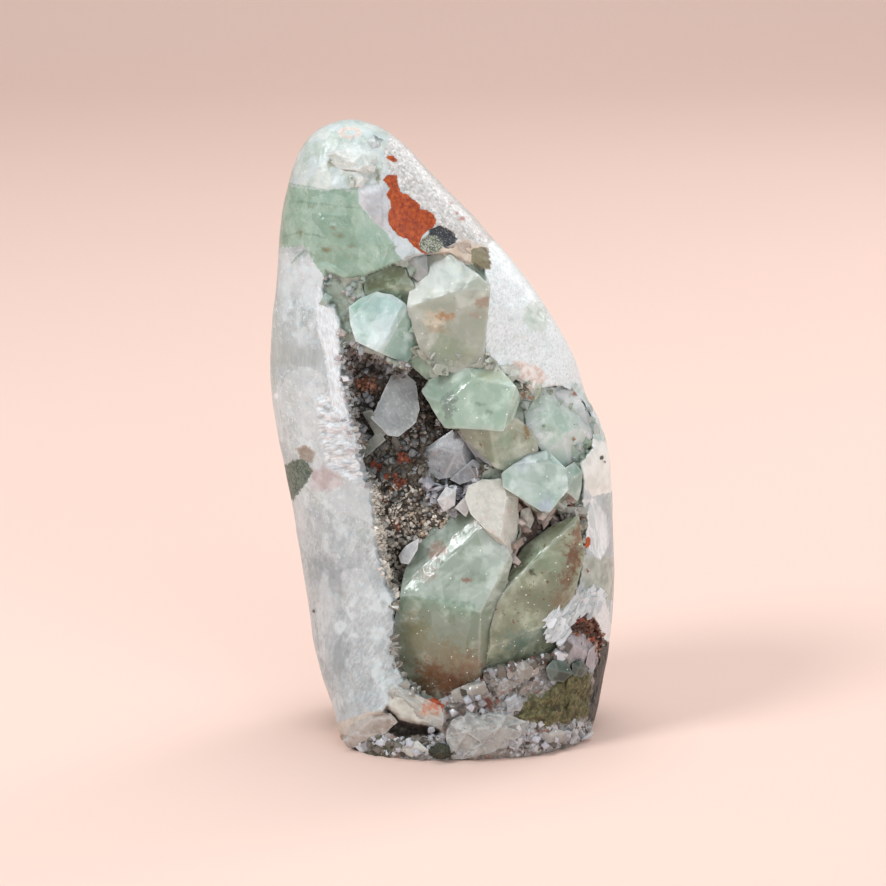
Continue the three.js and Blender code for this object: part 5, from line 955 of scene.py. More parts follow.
    lay("edge", s.ramp(bas_n, [(0.3, lin(50, 50, 48)), (0.6, lin(84, 80, 74)), (0.8, lin(120, 108, 98))]), 0.5, soft=0.15, amp=0.8)
    lay("hollow", two(lin(84, 60, 48), lin(140, 104, 86), e1), 0.6, soft=0.2, amp=0.6)
    lay("arch", s.ramp(sil_f, [(0.3, lin(204, 206, 206)), (0.6, lin(236, 238, 239))]), 0.35, soft=0.2, amp=0.6)
    lay("redfoot", lin(112, 66, 56), 0.5, soft=0.3, amp=0.6)
    lay("slabend", two(lin(176, 174, 162), lin(206, 205, 196), cloud2), 0.35, soft=0.15, amp=0.3)
    lay("orange_d", org, 0.5, soft=0.4, amp=0.7)
    # fine relief
    h = s.math("ADD", s.math("MULTIPLY", grain, 0.5), s.math("MULTIPLY", fib, 0.5))
    h = s.math("ADD", h, s.math("SUBTRACT", s.math("MULTIPLY", sugar, 0.9), s.math("MULTIPLY", shadow, 0.6)))
    rocky = s.math("ADD", s.math("ADD", mask("field"), mask("foot")), s.math("ADD", mask("basalt"), mask("footband")), clamp=True)
    h2 = s.math("MULTIPLY", s.noise(v, 2.6, 6, 0.72), s.math("ADD", s.math("MULTIPLY", rocky, 2.6), 0.3))
    nrm = s.bump(s.math("ADD", s.math("MULTIPLY", h, 0.16), h2), 0.5, 0.00022)
    s.principled(Base_Color=col, Roughness=rough, Normal=nrm, IOR=1.52, Subsurface_Weight=0.12,
                 Subsurface_Radius=(1.0, 1.0, 1.0), Subsurface_Scale=0.0015)
    return s.m

STONE = stone_material()

def stone_piece(name, r0, r1, c0, c1, cap_bottom=False):
    rows = np.arange(r0, r1 + 1)
    cols = np.arange(c0, c1 + 1)
    R, C = np.meshgrid(rows, cols % NU, indexing="ij")
    v = POS[R, C].reshape(-1, 3)
    n = NRM[R, C].reshape(-1, 3)
    w = len(cols)
    i, j = np.meshgrid(np.arange(len(rows) - 1), np.arange(w - 1), indexing="ij")
    a = (i * w + j).ravel()
    f = np.stack([a, a + 1, a + 1 + w, a + w], 1)
    o = new_mesh(name, v, f, STONE, n)
    for key, d in marks.items():
        add_attr(o, "m_" + key, d[R, C])
    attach(o, "root")
    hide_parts("matrix")
    return o

stone_piece("stone_front_left", 0, NV - 1, 0, NUF // 2)
stone_piece("stone_front_right", 0, NV - 1, NUF // 2, NUF)
stone_piece("stone_back", 0, NV - 1, NUF, NU)

# crown cap and sawn foot: inward rings
def cap_rings(ring, centre, count, z_mid=None):
    pts = [ring]
    for k in range(1, count):
        t = k / count
        q = ring * (1 - t) + centre * t
        if z_mid is not None:
            q[:, 2] = ring[:, 2] * (1 - t * t) + centre[2] * (t * t)
        pts.append(q)
    return np.array(pts)

def cap_piece(name, ring_row, centre, count, up, material):
    ring = POS[ring_row]
    rings = cap_rings(ring, centre, count, centre[2] if up else None)
    n, w = rings.shape[:2]
    v = np.vstack([rings.reshape(-1, 3), centre[None]])
    i, j = np.meshgrid(np.arange(n - 1), np.arange(w), indexing="ij")
    a, b = (i * w + j).ravel(), (i * w + (j + 1) % w).ravel()
    quads = np.stack([a, b, b + w, a + w], 1) if up else np.stack([b, a, a + w, b + w], 1)
    j = np.arange(w)
    k, k2 = (n - 1) * w + j, (n - 1) * w + (j + 1) % w
    tip = np.full(w, len(v) - 1)
    tris = np.stack([k, k2, tip], 1) if up else np.stack([k2, k, tip], 1)
    allf = np.vstack([quads[:, [0, 1, 2]], quads[:, [0, 2, 3]], tris])
    o = new_mesh(name, v, allf, material)
    for key, d in marks.items():
        add_attr(o, "m_" + key, np.concatenate([np.tile(d[ring_row], n), [d[ring_row].mean()]]))
    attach(o, "root")
    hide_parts("matrix")
    return o

cap_piece("stone_crown", NV - 1, np.array([SECTIONS[-1, 1], 0.0, HEIGHT - 0.01]), 6, True, STONE)

def foot_material():
    s = Shader("sawn_foot")
    v = s.coords()
    n = s.noise(v, 0.35, 5, 0.6)
    g = s.noise(v, 4.0, 3, 0.6)
    c = s.ramp(n, [(0.3, lin(72, 72, 66)), (0.5, lin(100, 100, 92)), (0.62, lin(146, 146, 138)), (0.75, lin(196, 198, 192))])
    c = s.mix(s.remap(g, 0.6, 0.7, 0.0, 0.5), c, lin(206, 206, 200))
    saw = s.noise(s.coords((0.05, 2.2, 1.0), (0, 0, 0.35)), 1.0, 2, 0.5)
    s.principled(Base_Color=c, Roughness=0.6, Normal=s.bump(s.math("ADD", s.math("MULTIPLY", saw, 0.6), s.math("MULTIPLY", g, 0.4)), 0.4, 0.0001))
    return s.m

cap_piece("stone_foot", 0, np.array([5.0, -2.0, 0.0]), 10, False, foot_material())

# ---------------------------------------------------------------- large crystals
def refine(bm, length):
    """Splits every edge longer than length until none is left, keeping triangles."""
    bmesh.ops.triangulate(bm, faces=bm.faces[:], quad_method="BEAUTY", ngon_method="BEAUTY")
    for _ in range(9):
        long = [e for e in bm.edges if e.calc_length() > length * MM]
        if not long:
            break
        bmesh.ops.subdivide_edges(bm, edges=long, cuts=1, use_grid_fill=False)
        bmesh.ops.triangulate(bm, faces=[f for f in bm.faces if len(f.verts) > 3], quad_method="BEAUTY", ngon_method="BEAUTY")

FACE_LIGHT_SHADE_TONES = {}

def crystal(name, node, material, bevel=0.18, length=0.8, relief=0.015, chip=0.12, seed=0, steps=0.02, spread=1.0, cuts=()):
    """A grown crystal: flat faces, fine bevels, low growth steps and small chips along its edges."""
    planes, inside = FORMS[name]
    planes = list(planes)
    for p, n in cuts:
        n = np.array(n) / np.linalg.norm(n)
        planes.append((n, float(n @ np.array(p))))
    pts, faces = polyhedron(planes, inside)
    bm = bmesh.new()
    vs = [bm.verts.new(Vector(p) * MM) for p in pts]
    for f in faces:
        try:
            bm.faces.new([vs[i] for i in f])
        except ValueError:
            pass
    loose = [v for v in bm.verts if not v.link_faces]
    if loose:
        bmesh.ops.delete(bm, geom=loose, context="VERTS")
    bmesh.ops.recalc_face_normals(bm, faces=bm.faces[:])
    edges = [(np.array(e.verts[0].co) / MM, np.array(e.verts[1].co) / MM) for e in bm.edges
             if len(e.link_faces) == 2 and e.calc_face_angle(0) > math.radians(8)]
    bmesh.ops.bevel(bm, geom=bm.edges[:], offset=bevel * MM, segments=2, profile=0.6, affect="EDGES", clamp_overlap=True)
    bmesh.ops.remove_doubles(bm, verts=bm.verts[:], dist=0.00001)
    refine(bm, length * 1.45)
    bmesh.ops.recalc_face_normals(bm, faces=bm.faces[:])
    bm.normal_update()
    co = np.array([v.co[:] for v in bm.verts]) / MM
    no = np.array([v.normal[:] for v in bm.verts])
    d = np.full(len(co), 9.0)
    for a, b in edges:
        ab = b - a
        t = np.clip(((co - a) @ ab) / (ab @ ab + 1e-9), 0, 1)
        d = np.minimum(d, np.linalg.norm(co - a - t[:, None] * ab, axis=1))
    N = np.array([p[0] for p in planes])
    D = np.array([p[1] for p in planes])
    face = np.argmin(np.abs(co @ N.T - D) + 0.6 * (1 - no @ N.T), axis=1)
    rng = np.random.default_rng(1000 + seed)
    tone = rng.uniform(-1, 1, len(planes)) * spread
    cen = np.array([co[face == k].mean(axis=0) if (face == k).any() else (99, 99, 99) for k in range(len(planes))])
    cu, cv = px(cen)
    # listed faces get a set tone: painted light and shade, each lighter or darker as it is lit in this view
    for u, v, t in FACE_LIGHT_SHADE_TONES.get(name, ()):
        k = min((k for k in range(len(planes)) if N[k, 1] < -0.12), key=lambda k: (cu[k] - u) ** 2 + (cv[k] - v) ** 2)
        tone[k] = t
    field = fbm(co + face[:, None] * 7.0, (0.2, 0.2, 0.12), 3, seed + 1) * 4
    terr = (np.floor(field) + smooth(field - np.floor(field), 0.4, 0.6)) * steps
    n = fbm(co, 0.5, 4, seed + 5)
    wear = smooth(0.7 - d, 0, 0.7) * smooth(fbm(co, 0.9, 3, seed + 13), 0.0, 0.5) * chip
    co2 = co + no * ((terr + n * relief) * smooth(d, 0.1, 0.5) - wear)[:, None]
    for v, c in zip(bm.verts, co2):
        v.co = Vector(c) * MM
    me = bpy.data.meshes.new(name)
    bm.to_mesh(me)
    bm.free()
    for p in me.polygons:
        p.use_smooth = True
    me.set_sharp_from_angle(angle=math.radians(22))
    me.materials.append(material)
    o = bpy.data.objects.new(name, me)
    bpy.context.scene.collection.objects.link(o)
    add_attr(o, "edge", np.clip(d, 0, 6))
    add_attr(o, "tone", tone[face])
    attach(o, "root")
    if node:
        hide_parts(*([node] if isinstance(node, str) else node))
    return o

def on_crystal(u, v, deeper=0.2):
    """Point just inside the large crystal seen at picture position (u, v)."""
    y = float(entry_depth(np.array([float(u)]), np.array([float(v)]))[0])
    y = y if math.isfinite(y) else -14.0
    return tuple(float(c) for c in P(np.array(float(u)), np.array(float(v)), np.array(y + deeper)))

def clear_crystal(name, deep, pale, edge_col, clear=0.45, rough=0.07, stain=None, stain_z=None, absorb=(0.62, 0.80, 0.66), density=45.0, seed=0.0, stain_cut=(0.56, 0.68), speck=0.7, spots=(), edge=0.45, sparkle=0.62):
    """See-through apophyllite: plain transmission and absorption, with cloudy zones, veils, pale edges that are partly
    worn and partly a painted highlight, and painted glint dots.
    spots: (u, v, radius mm, colour, strength) inclusions at picture positions; speck: strength of the painted glint
    dots; sparkle: how rare they are."""
    s = Shader(name)
    v = s.coords(loc=(seed, seed * 1.7, seed * 0.6))
    cloud = s.noise(v, 0.11, 3, 0.55, 1.0)
    cloud2 = s.noise(v, 0.34, 4, 0.55, 0.35)
    grain = s.noise(v, 3.0, 4, 0.6)
    ed = s.attr("edge")
    tn = s.attr("tone")
    f = s.math("ADD", s.math("MULTIPLY", s.remap(cloud, 0.34, 0.66), 0.6), s.math("MULTIPLY", s.remap(cloud2, 0.38, 0.62), 0.4))
    # face tone: random zoning, and on the set faces painted light and shade
    f = s.math("ADD", f, s.math("MULTIPLY", tn, 0.45), clamp=True)
    col = s.mix(f, deep, pale)
    block = s.voronoi(s.coords((0.2, 0.2, 0.1), (0.4, 0.25, 0.1), (seed, 0, 0)), 1.0, "F1", "Color")
    bsep = s.node("ShaderNodeSeparateColor")
    s.link(block, bsep.inputs[0])
    col = s.mix(s.remap(bsep.outputs[0], 0.55, 0.7, 0.0, 0.35), col, pale)
    col = s.mix(s.remap(bsep.outputs[1], 0.6, 0.75, 0.0, 0.35), col, deep)
    # veils: thin bent sheets of tiny bubbles
    vn = s.noise(s.coords((0.5, 0.5, 0.8), (0.5, 0.35, 0.2), (seed, 0, 0)), 0.26, 2, 0.5, 0.5)
    veil = s.math("MULTIPLY", s.remap(s.math("ABSOLUTE", s.math("SUBTRACT", vn, 0.5)), 0.0, 0.11, 0.2, 0.0), s.remap(cloud, 0.45, 0.62))
    col = s.mix(veil, col, edge_col)
    milk = s.remap(s.noise(v, 0.2, 4, 0.55, 0.2), 0.5, 0.7, 0.0, 0.4)
    col = s.mix(milk, col, edge_col)
    # paler near the edges: partly worn edges, partly a painted highlight along them
    col = s.mix(s.remap(s.math("ADD", ed, s.math("MULTIPLY", s.math("SUBTRACT", cloud2, 0.5), 1.2)), 0.0, 0.5, edge, 0.0), col, edge_col)
    if stain is not None:
        m = s.remap(s.noise(v, 0.8, 5, 0.7, 0.3), *stain_cut)
        if stain_z is not None:
            sep = s.node("ShaderNodeSeparateXYZ")
            s.link(s.coords(), sep.inputs[0])
            hz = s.math("ADD", sep.outputs[2], s.math("MULTIPLY", s.math("SUBTRACT", cloud2, 0.5), 12.0))
            m = s.math("MULTIPLY", m, s.remap(hz, stain_z[0], stain_z[1], 0.0, 1.0))
            col = s.mix(s.remap(hz, stain_z[0], stain_z[1], 0.0, 0.5), col, stain)
        col = s.mix(m, col, stain)
    for u, v_, r, c, k in spots:
        col = s.mix(s.blob(u if v_ is None else on_crystal(u, v_), r, k), col, lin(*c))
    # painted glints: rare tiny white dots that stand in for sparkling reflections, their strength set by speck; the few
    # dark brown dots are inclusions
    gd = s.voronoi(v, 0.8)
    gc = s.voronoi(v, 0.8, "F1", "Color")
    gsep = s.node("ShaderNodeSeparateColor")
    s.link(gc, gsep.inputs[0])
    dot = s.math("MULTIPLY", s.remap(gd, 0.08, 0.15, 1.0, 0.0), s.remap(gsep.outputs[0], sparkle, sparkle + 0.02))
    dark = s.math("MULTIPLY", s.remap(gd, 0.08, 0.16, 1.0, 0.0), s.remap(gsep.outputs[1], 0.86, 0.88))
    col = s.mix(s.math("MULTIPLY", dark, 0.5), col, lin(112, 96, 74))
    col = s.mix(s.math("MULTIPLY", dot, speck), col, (1.0, 1.0, 1.0))
    tr = s.math("SUBTRACT", clear, s.math("MULTIPLY", s.math("ADD", veil, s.math("ADD", milk, dot)), 0.5), clamp=True)
    rg = s.math("ADD", rough, s.math("MULTIPLY", s.remap(cloud2, 0.5, 0.72), 0.16))
    stri = s.noise(s.coords((2.0, 2.0, 0.3), (0.3, 0.2, 0.0)), 1.0, 3, 0.5)
    und = s.noise(v, 0.28, 3, 0.5)
    h = s.math("ADD", s.math("MULTIPLY", grain, 0.25), s.math("MULTIPLY", stri, 0.5))
    h = s.math("ADD", h, s.math("MULTIPLY", und, 0.9))
    s.principled(Base_Color=col, Roughness=rg, IOR=1.536, Transmission_Weight=tr, Normal=s.bump(h, 0.35, 0.00016),
                 Subsurface_Weight=0.65, Subsurface_Radius=(0.85, 1.0, 0.88), Subsurface_Scale=0.004)
    ab = s.node("ShaderNodeVolumeAbsorption")
    ab.inputs["Color"].default_value = (*absorb, 1.0)
    ab.inputs["Density"].default_value = density
    s.link(ab.outputs["Volume"], s.out.inputs["Volume"])
    return s.m

RUST, PINK = (134, 92, 66), (186, 150, 136)
M_LARGE = clear_crystal("apophyllite_large", lin(158, 176, 156), lin(210, 224, 214), lin(226, 236, 230), 0.4, 0.06, lin(150, 128, 96), (34, 15), seed=3.1, stain_cut=(0.58, 0.66), edge=0.35,
    spots=((452, 684, (9, 6, 5.0), RUST, 0.95), (432, 672, (5, 5, 4), (150, 104, 74), 0.8), (470, 668, (6, 5, 5), (150, 112, 82), 0.7), (420, 690, (4, 5, 3), RUST, 0.8),
           (415, 634, (5, 6, 7), (158, 152, 108), 0.6), (447, 655, (7, 6, 5), (164, 148, 112), 0.6), (437, 551, (3.2, 3, 2.4), PINK, 0.75), (428, 574, (3, 3, 2), (196, 172, 158), 0.6),
           (467, 580, (1.3, 1.3, 0.9), (176, 120, 102), 0.8), (500, 548, (4.5, 4, 5), (214, 226, 220), 0.6), (440, 602, (11, 5, 1.6), (150, 182, 160), 0.7), (462, 611, (6, 5, 1.6), (152, 184, 162), 0.6)))
M_LR = clear_crystal("apophyllite_lower_right", lin(144, 152, 126), lin(184, 192, 168), lin(206, 216, 196), 0.35, 0.1, lin(130, 104, 76), None, absorb=(0.66, 0.76, 0.58), density=60, seed=7.7, stain_cut=(0.60, 0.66), speck=0.95, sparkle=0.45, edge=0.4,
    spots=((573, 558, (2.6, 4, 4.5), RUST, 0.95), (566, 580, (2.2, 3, 3), RUST, 0.8), (578, 535, (1.6, 3, 3), (150, 104, 82), 0.8), (560, 600, (3, 3, 3), (150, 120, 90), 0.6),
           (532, 572, (1.0, 2, 1.2), (84, 88, 66), 0.9), (520, 640, (7, 4, 3.4), (130, 156, 144), 0.8), (545, 632, (5, 4, 3), (136, 160, 150), 0.7), (548, 560, (6, 4, 4), (160, 184, 158), 0.6)))
# the grey-green spot at (448, 405) is painted shade under the crystal's lower left edge
M_MID = clear_crystal("apophyllite_middle", lin(176, 202, 182), lin(208, 226, 212), lin(226, 238, 228), 0.38, 0.07, density=40, seed=11.3, edge=0.35,
    spots=((494, 376, (5, 4, 2.2), (188, 194, 160), 0.7), (480, 404, (1.6, 2, 0.7), (150, 168, 148), 0.6), (489, 412, (1.4, 2, 0.6), (150, 168, 148), 0.6), (448, 405, (2, 3, 4), (146, 156, 148), 0.8)))
M_SHOULDER = clear_crystal("apophyllite_shoulder", lin(168, 180, 156), lin(204, 212, 196), lin(220, 228, 216), 0.35, 0.1, lin(158, 130, 96), None, density=50, seed=12.7, stain_cut=(0.64, 0.7), edge=0.35,
    spots=((527, 428, (1.2, 2, 3), (150, 118, 70), 0.8), (505, 440, (3, 3, 4), (160, 188, 160), 0.6)))
M_PALE = clear_crystal("apophyllite_pale", lin(160, 196, 178), lin(212, 232, 231), lin(226, 240, 240), 0.22, 0.12, absorb=(0.72, 0.86, 0.8), density=35, seed=15.9, edge=0.4,
    spots=((386, 305, (7, 4, 2.2), (172, 206, 202), 0.75), (377, 337, (4, 4, 4), (228, 242, 240), 0.7)))
M_MILKY = clear_crystal("apophyllite_milky", lin(190, 197, 182), lin(208, 214, 203), lin(222, 227, 222), 0.36, 0.32, lin(206, 178, 150), None, absorb=(0.74, 0.82, 0.7), density=35, seed=19.3, stain_cut=(0.66, 0.72), speck=0.9,
    spots=((435, 319, (3.4, 3, 2.6), (236, 226, 204), 0.95), (446, 316, (2.6, 3, 1.3), (196, 152, 112), 0.9), (438, 330, (3.2, 3, 1.3), (186, 166, 132), 0.6), (483, 302, (3.2, 3, 1.7), (182, 146, 128), 0.7), (476, 314, (2.6, 3, 1.2), (192, 164, 146), 0.5),
           (448, 350, (5, 4, 4), (160, 182, 150), 0.6), (468, 355, (4, 4, 3), (176, 184, 158), 0.5), (446, 276, (8, 6, 4.5), (188, 202, 200), 0.6)))
M_KITE = clear_crystal("apophyllite_kite", lin(164, 190, 176), lin(202, 219, 212), lin(222, 234, 230), 0.33, 0.08, absorb=(0.7, 0.85, 0.76), density=40, seed=23.8, edge=0.35,
    spots=((520, 462, (4, 4, 3.2), (212, 224, 230), 0.6), (545, 506, (2, 3, 3), (178, 190, 214), 0.6)))
M_DEEP = clear_crystal("apophyllite_deep_green", lin(146, 184, 156), lin(184, 214, 192), lin(204, 224, 210), 0.4, 0.08, absorb=(0.55, 0.76, 0.6), density=60, seed=28.4, edge=0.3)
M_OLIVE = clear_crystal("apophyllite_olive", lin(132, 148, 122), lin(172, 188, 164), lin(200, 212, 194), 0.35, 0.1, absorb=(0.6, 0.74, 0.56), density=60, seed=31.0, edge=0.35,
    spots=((380, 284, (5, 3, 1.8), (122, 130, 96), 0.8), (400, 274, (4, 3, 2), (128, 136, 100), 0.7)))
M_MASS = clear_crystal("apophyllite_mass", lin(198, 222, 208), lin(234, 244, 242), lin(246, 250, 252), 0.22, 0.14, lin(190, 160, 132), None, absorb=(0.7, 0.82, 0.74), density=40, seed=36.2, stain_cut=(0.68, 0.74), edge=0.3,
    spots=((572, 393, 1.5, (158, 106, 74), 0.95), (556, 420, (6, 5, 5), (176, 204, 188), 0.6), (585, 415, (4, 5, 6), (214, 222, 228), 0.6)))

def pale_mineral(name, dark, pale, white, rough=0.3, clear=0.12, sss=0.2, freq=0.5, bump=0.3, seed=0.0, spot=None):
    """Waxy white to grey stilbite, heulandite or chalcedony."""
    s = Shader(name)
    v = s.coords(loc=(seed, seed, seed))
    c1 = s.noise(v, freq * 0.5, 4, 0.6, 0.4)
    c2 = s.noise(v, freq * 2.2, 4, 0.65)
    g = s.noise(v, 5.5, 3, 0.6)
    fibre = s.noise(s.coords((3.0, 3.0, 0.4), (0.4, 0.6, 0.1), (seed, 0, 0)), 1.0, 4, 0.6)
    f = s.math("ADD", s.remap(c1, 0.35, 0.65), s.math("MULTIPLY", s.attr("tone"), 0.4), clamp=True)
    col = s.mix(f, dark, pale)
    col = s.mix(s.remap(c2, 0.5, 0.72, 0.0, 0.7), col, white)
    col = s.mix(s.remap(fibre, 0.5, 0.7, 0.0, 0.4), col, white)
    if spot is not None:
        col = s.mix(s.remap(s.noise(v, 0.9, 3, 0.6), 0.6, 0.68, 0.0, 0.7), col, spot)
    # whiter near the edges: partly worn edges, partly a painted highlight along them
    col = s.mix(s.remap(s.attr("edge"), 0.05, 0.5, 0.5, 0.0), col, white)
    h = s.math("ADD", s.math("MULTIPLY", c2, 0.5), s.math("MULTIPLY", g, 0.5))
    s.principled(Base_Color=col, Roughness=rough, IOR=1.5, Transmission_Weight=clear, Normal=s.bump(h, bump, 0.0002),
                 Subsurface_Weight=sss, Subsurface_Radius=(1.0, 1.0, 1.0), Subsurface_Scale=0.0012)
    return s.m

M_COLUMN = pale_mineral("stilbite_column", lin(196, 198, 188), lin(220, 222, 214), lin(236, 237, 231), 0.28, seed=2.0, spot=lin(214, 190, 182))
M_BALL = pale_mineral("stilbite_ball", lin(142, 146, 150), lin(168, 172, 176), lin(194, 198, 201), 0.26, seed=4.0, spot=lin(170, 146, 142))
M_BLADE = pale_mineral("stilbite_blade", lin(146, 151, 152), lin(172, 176, 177), lin(204, 207, 206), 0.3, seed=6.0)
M_PLATE = pale_mineral("stilbite_plates", lin(128, 132, 124), lin(158, 162, 156), lin(190, 194, 190), 0.3, seed=8.0)
M_CHIP = pale_mineral("stilbite_chip", lin(190, 196, 200), lin(220, 224, 226), lin(240, 242, 242), 0.35, seed=9.0)
M_CHUNK = pale_mineral("stilbite_chunk", lin(198, 210, 204), lin(224, 231, 226), lin(246, 248, 246), 0.3, seed=12.0, bump=0.8)
M_LUMP = pale_mineral("heulandite_lump", lin(156, 156, 152), lin(184, 185, 182), lin(208, 210, 208), 0.4, seed=14.0, bump=0.6)
M_CHAL = pale_mineral("chalcedony_lump", lin(150, 144, 148), lin(178, 173, 178), lin(200, 196, 200), 0.32, seed=16.0)

def dark_ball_material():
    s = Shader("celadonite_ball")
    v = s.coords()
    n = s.noise(v, 1.8, 5, 0.7)
    g = s.noise(v, 6.0, 3, 0.6)
    c = s.ramp(n, [(0.3, lin(36, 36, 30)), (0.5, lin(66, 68, 54)), (0.66, lin(96, 96, 76)), (0.8, lin(140, 136, 120))])
    s.principled(Base_Color=c, Roughness=0.6, Normal=s.bump(s.math("ADD", n, g), 0.8, 0.0004))
    return s.m

# set face tones: painted light and painted shade, listed faces made lighter where lit and darker where turned from the
# light
FACE_LIGHT_SHADE_TONES.update({
    "apophyllite_large": [(440, 560, -0.1), (480, 575, 0.9), (440, 640, -0.5), (470, 540, 0.6), (450, 680, -0.9)],
    "apophyllite_pale": [(380, 297, -0.1), (372, 325, 1.0), (402, 335, -0.4), (412, 350, -0.9), (395, 312, 0.3)],
    "apophyllite_milky": [(450, 268, 0.7), (455, 315, -0.3), (430, 300, 0.3), (480, 310, -0.5)],
    "apophyllite_middle": [(487, 402, 0.7), (446, 380, 0.0), (480, 372, 0.3), (450, 405, -0.9)],
    "apophyllite_shoulder": [(495, 440, -0.2), (520, 430, 0.2)],
    "apophyllite_right_mass": [(550, 415, -0.2), (575, 410, 0.6), (585, 430, 0.3), (560, 395, 0.1)],
    "apophyllite_lower_right": [(540, 585, 0.1), (545, 540, 0.5), (520, 645, -0.6)],
    "apophyllite_kite": [(538, 470, 0.3), (525, 450, 0.7), (560, 470, -0.4)],
})
# the bright narrow face along the large crystal's ridge
_ra, _rb = np.array((9.3, -18.2, 52.8)), np.array((-8.9, -20.1, 36.0))
_r = (_rb - _ra) / np.linalg.norm(_rb - _ra)
_h = np.array((-0.325, -0.765, 0.557))
_h = _h - (_h @ _r) * _r
_h /= np.linalg.norm(_h)
crystal("apophyllite_large", "apophyllite_large", M_LARGE, 0.2, 0.8, 0.015, 0.15, 1, cuts=[((_ra + _rb) / 2 - _h * 0.05, _h)])
crystal("apophyllite_lower_right", "apophyllite_lower_right", M_LR, 0.2, 0.8, 0.03, 0.15, 2)
crystal("apophyllite_middle", "apophyllite_middle", M_MID, 0.15, 0.7, 0.02, 0.12, 3)
crystal("apophyllite_shoulder", None, M_SHOULDER, 0.15, 0.7, 0.02, 0.12, 4)
crystal("apophyllite_wedge", None, M_BALL, 0.12, 0.7, 0.02, 0.1, 5)
crystal("apophyllite_pale", "apophyllite_pale", M_PALE, 0.12, 0.6, 0.015, 0.1, 6)
crystal("apophyllite_milky", "apophyllite_milky", M_MILKY, 0.2, 0.7, 0.04, 0.2, 7)
crystal("apophyllite_kite", "apophyllite_kite", M_KITE, 0.12, 0.6, 0.02, 0.12, 8)
crystal("apophyllite_small_right", None, M_KITE, 0.1, 0.6, 0.02, 0.12, 9)
crystal("apophyllite_deep_green", "apophyllite_deep_green", M_DEEP, 0.12, 0.6, 0.02, 0.12, 10)
crystal("apophyllite_olive", "apophyllite_olive", M_OLIVE, 0.12, 0.6, 0.02, 0.12, 11)
crystal("apophyllite_right_mass", "apophyllite_right_mass", M_MASS, 0.15, 0.6, 0.03, 0.2, 12)
crystal("stilbite_column", "stilbite_column", M_COLUMN, 0.2, 0.6, 0.03, 0.2, 13)
crystal("stilbite_ball", "stilbite_ball", M_BALL, 0.18, 0.6, 0.02, 0.15, 14)
crystal("stilbite_plate_small", None, M_BALL, 0.1, 0.5, 0.02, 0.1, 15)
crystal("stilbite_blade", "stilbite_blade", M_BLADE, 0.15, 0.5, 0.03, 0.2, 16)
crystal("stilbite_plate_upper", "stilbite_plates", M_PLATE, 0.1, 0.5, 0.03, 0.1, 17)
crystal("stilbite_plate_lower", None, M_PLATE, 0.1, 0.5, 0.03, 0.1, 18)
crystal("stilbite_chip", "stilbite_chip", M_CHIP, 0.1, 0.5, 0.03, 0.1, 19)
_front = [on_skin(u, v, d) for u, v, d in ((323, 156, 0.3), (331, 147, 0.1), (344, 142, 0.0), (360, 145, 0.0), (373, 150, 0.1), (378, 160, 0.3), (374, 173, 0.3), (364, 180, 0.4), (350, 174, 0.4), (338, 168, 0.4))]
_tips = [on_skin(u, v, d) for u, v, d in ((336, 152, -1.4), (346, 150, -2.2), (352, 162, -2.6), (362, 154, -2.9), (368, 166, -2.4), (356, 170, -2.4))]
_mid = np.mean(_front, axis=0)
_all = [tuple(p) for p in _front + _tips + [_mid + (p - _mid) * 0.8 + np.array((0, 3.6, -0.4)) for p in _front]]
FORMS["stilbite_chunk"] = (planes_of(_all, 12.0, 0.05), np.mean(_all, axis=0))
crystal("stilbite_chunk", "stilbite_chunk", M_CHUNK, 0.15, 0.45, 0.12, 0.3, 20, steps=0.08)
crystal("heulandite_lump", "heulandite_lump", M_LUMP, 0.2, 0.5, 0.28, 0.6, 21, steps=0.15)
crystal("chalcedony_lump", "chalcedony_lump", M_CHAL, 0.3, 0.5, 0.12, 0.4, 22)
crystal("celadonite_ball", "celadonite_ball", dark_ball_material(), 0.4, 0.4, 0.35, 0.5, 23)

# ---------------------------------------------------------------- smaller grown forms on the stone, by picture outline
def small_form(name, outline, thick, material, bulge=0.0, seed=0, bevel=0.1, relief=0.02, chip=0.1, angle=13.0, length=0.6, tip=None, taper=0.8):
    """outline: (u, v, depth behind the skin) round the front; tip: extra front points; thick: how far it runs back."""
    front = []
    for u, v, d in list(outline) + list(tip or ()):
        front.append(on_skin(u, v, d))
    front = np.array(front)
    front[:, 1] = np.clip(front[:, 1], np.median(front[:, 1]) - 3.0, np.median(front[:, 1]) + 2.2)
    n = len(outline)
    c = front[:n].mean(axis=0)
    back = c + (front[:n] - c) * taper + np.array((0, thick, -0.12 * thick))
    pts = np.vstack([front, back])
    FORMS[name] = (trim(planes_of([tuple(p) for p in pts], angle, 0.05), [tuple(p) for p in pts], pts.mean(axis=0), 0.5), pts.mean(axis=0))
    return crystal(name, None, material, bevel, length, relief, chip, seed)

M_GLASS = clear_crystal("clear_small", lin(170, 182, 176), lin(222, 230, 228), lin(240, 244, 243), 0.5, 0.06, absorb=(0.75, 0.85, 0.8), density=40, seed=41.0)
M_BLUISH = clear_crystal("bluish_small", lin(150, 166, 166), lin(186, 200, 202), lin(214, 224, 226), 0.4, 0.08, absorb=(0.7, 0.8, 0.82), density=50, seed=43.0)
M_LILAC = clear_crystal("lilac_small", lin(168, 164, 156), lin(190, 188, 182), lin(204, 202, 198), 0.3, 0.12, absorb=(0.8, 0.78, 0.74), density=50, seed=45.0)
M_CREAM = pale_mineral("cream_small", lin(182, 182, 172), lin(206, 207, 200), lin(226, 227, 222), 0.32, seed=47.0, bump=0.5)
M_FOOTP = clear_crystal("foot_plate", lin(172, 176, 168), lin(204, 208, 202), lin(224, 228, 224), 0.12, 0.22, density=40, seed=46.1, speck=0.4,
    spots=((tuple(float(c) for c in on_skin(434, 705, -0.2)), None, (3.0, 3, 2.2), (198, 116, 78), 0.85), (tuple(float(c) for c in on_skin(425, 712, -0.2)), None, (3.0, 3, 1.8), (214, 176, 154), 0.6)))
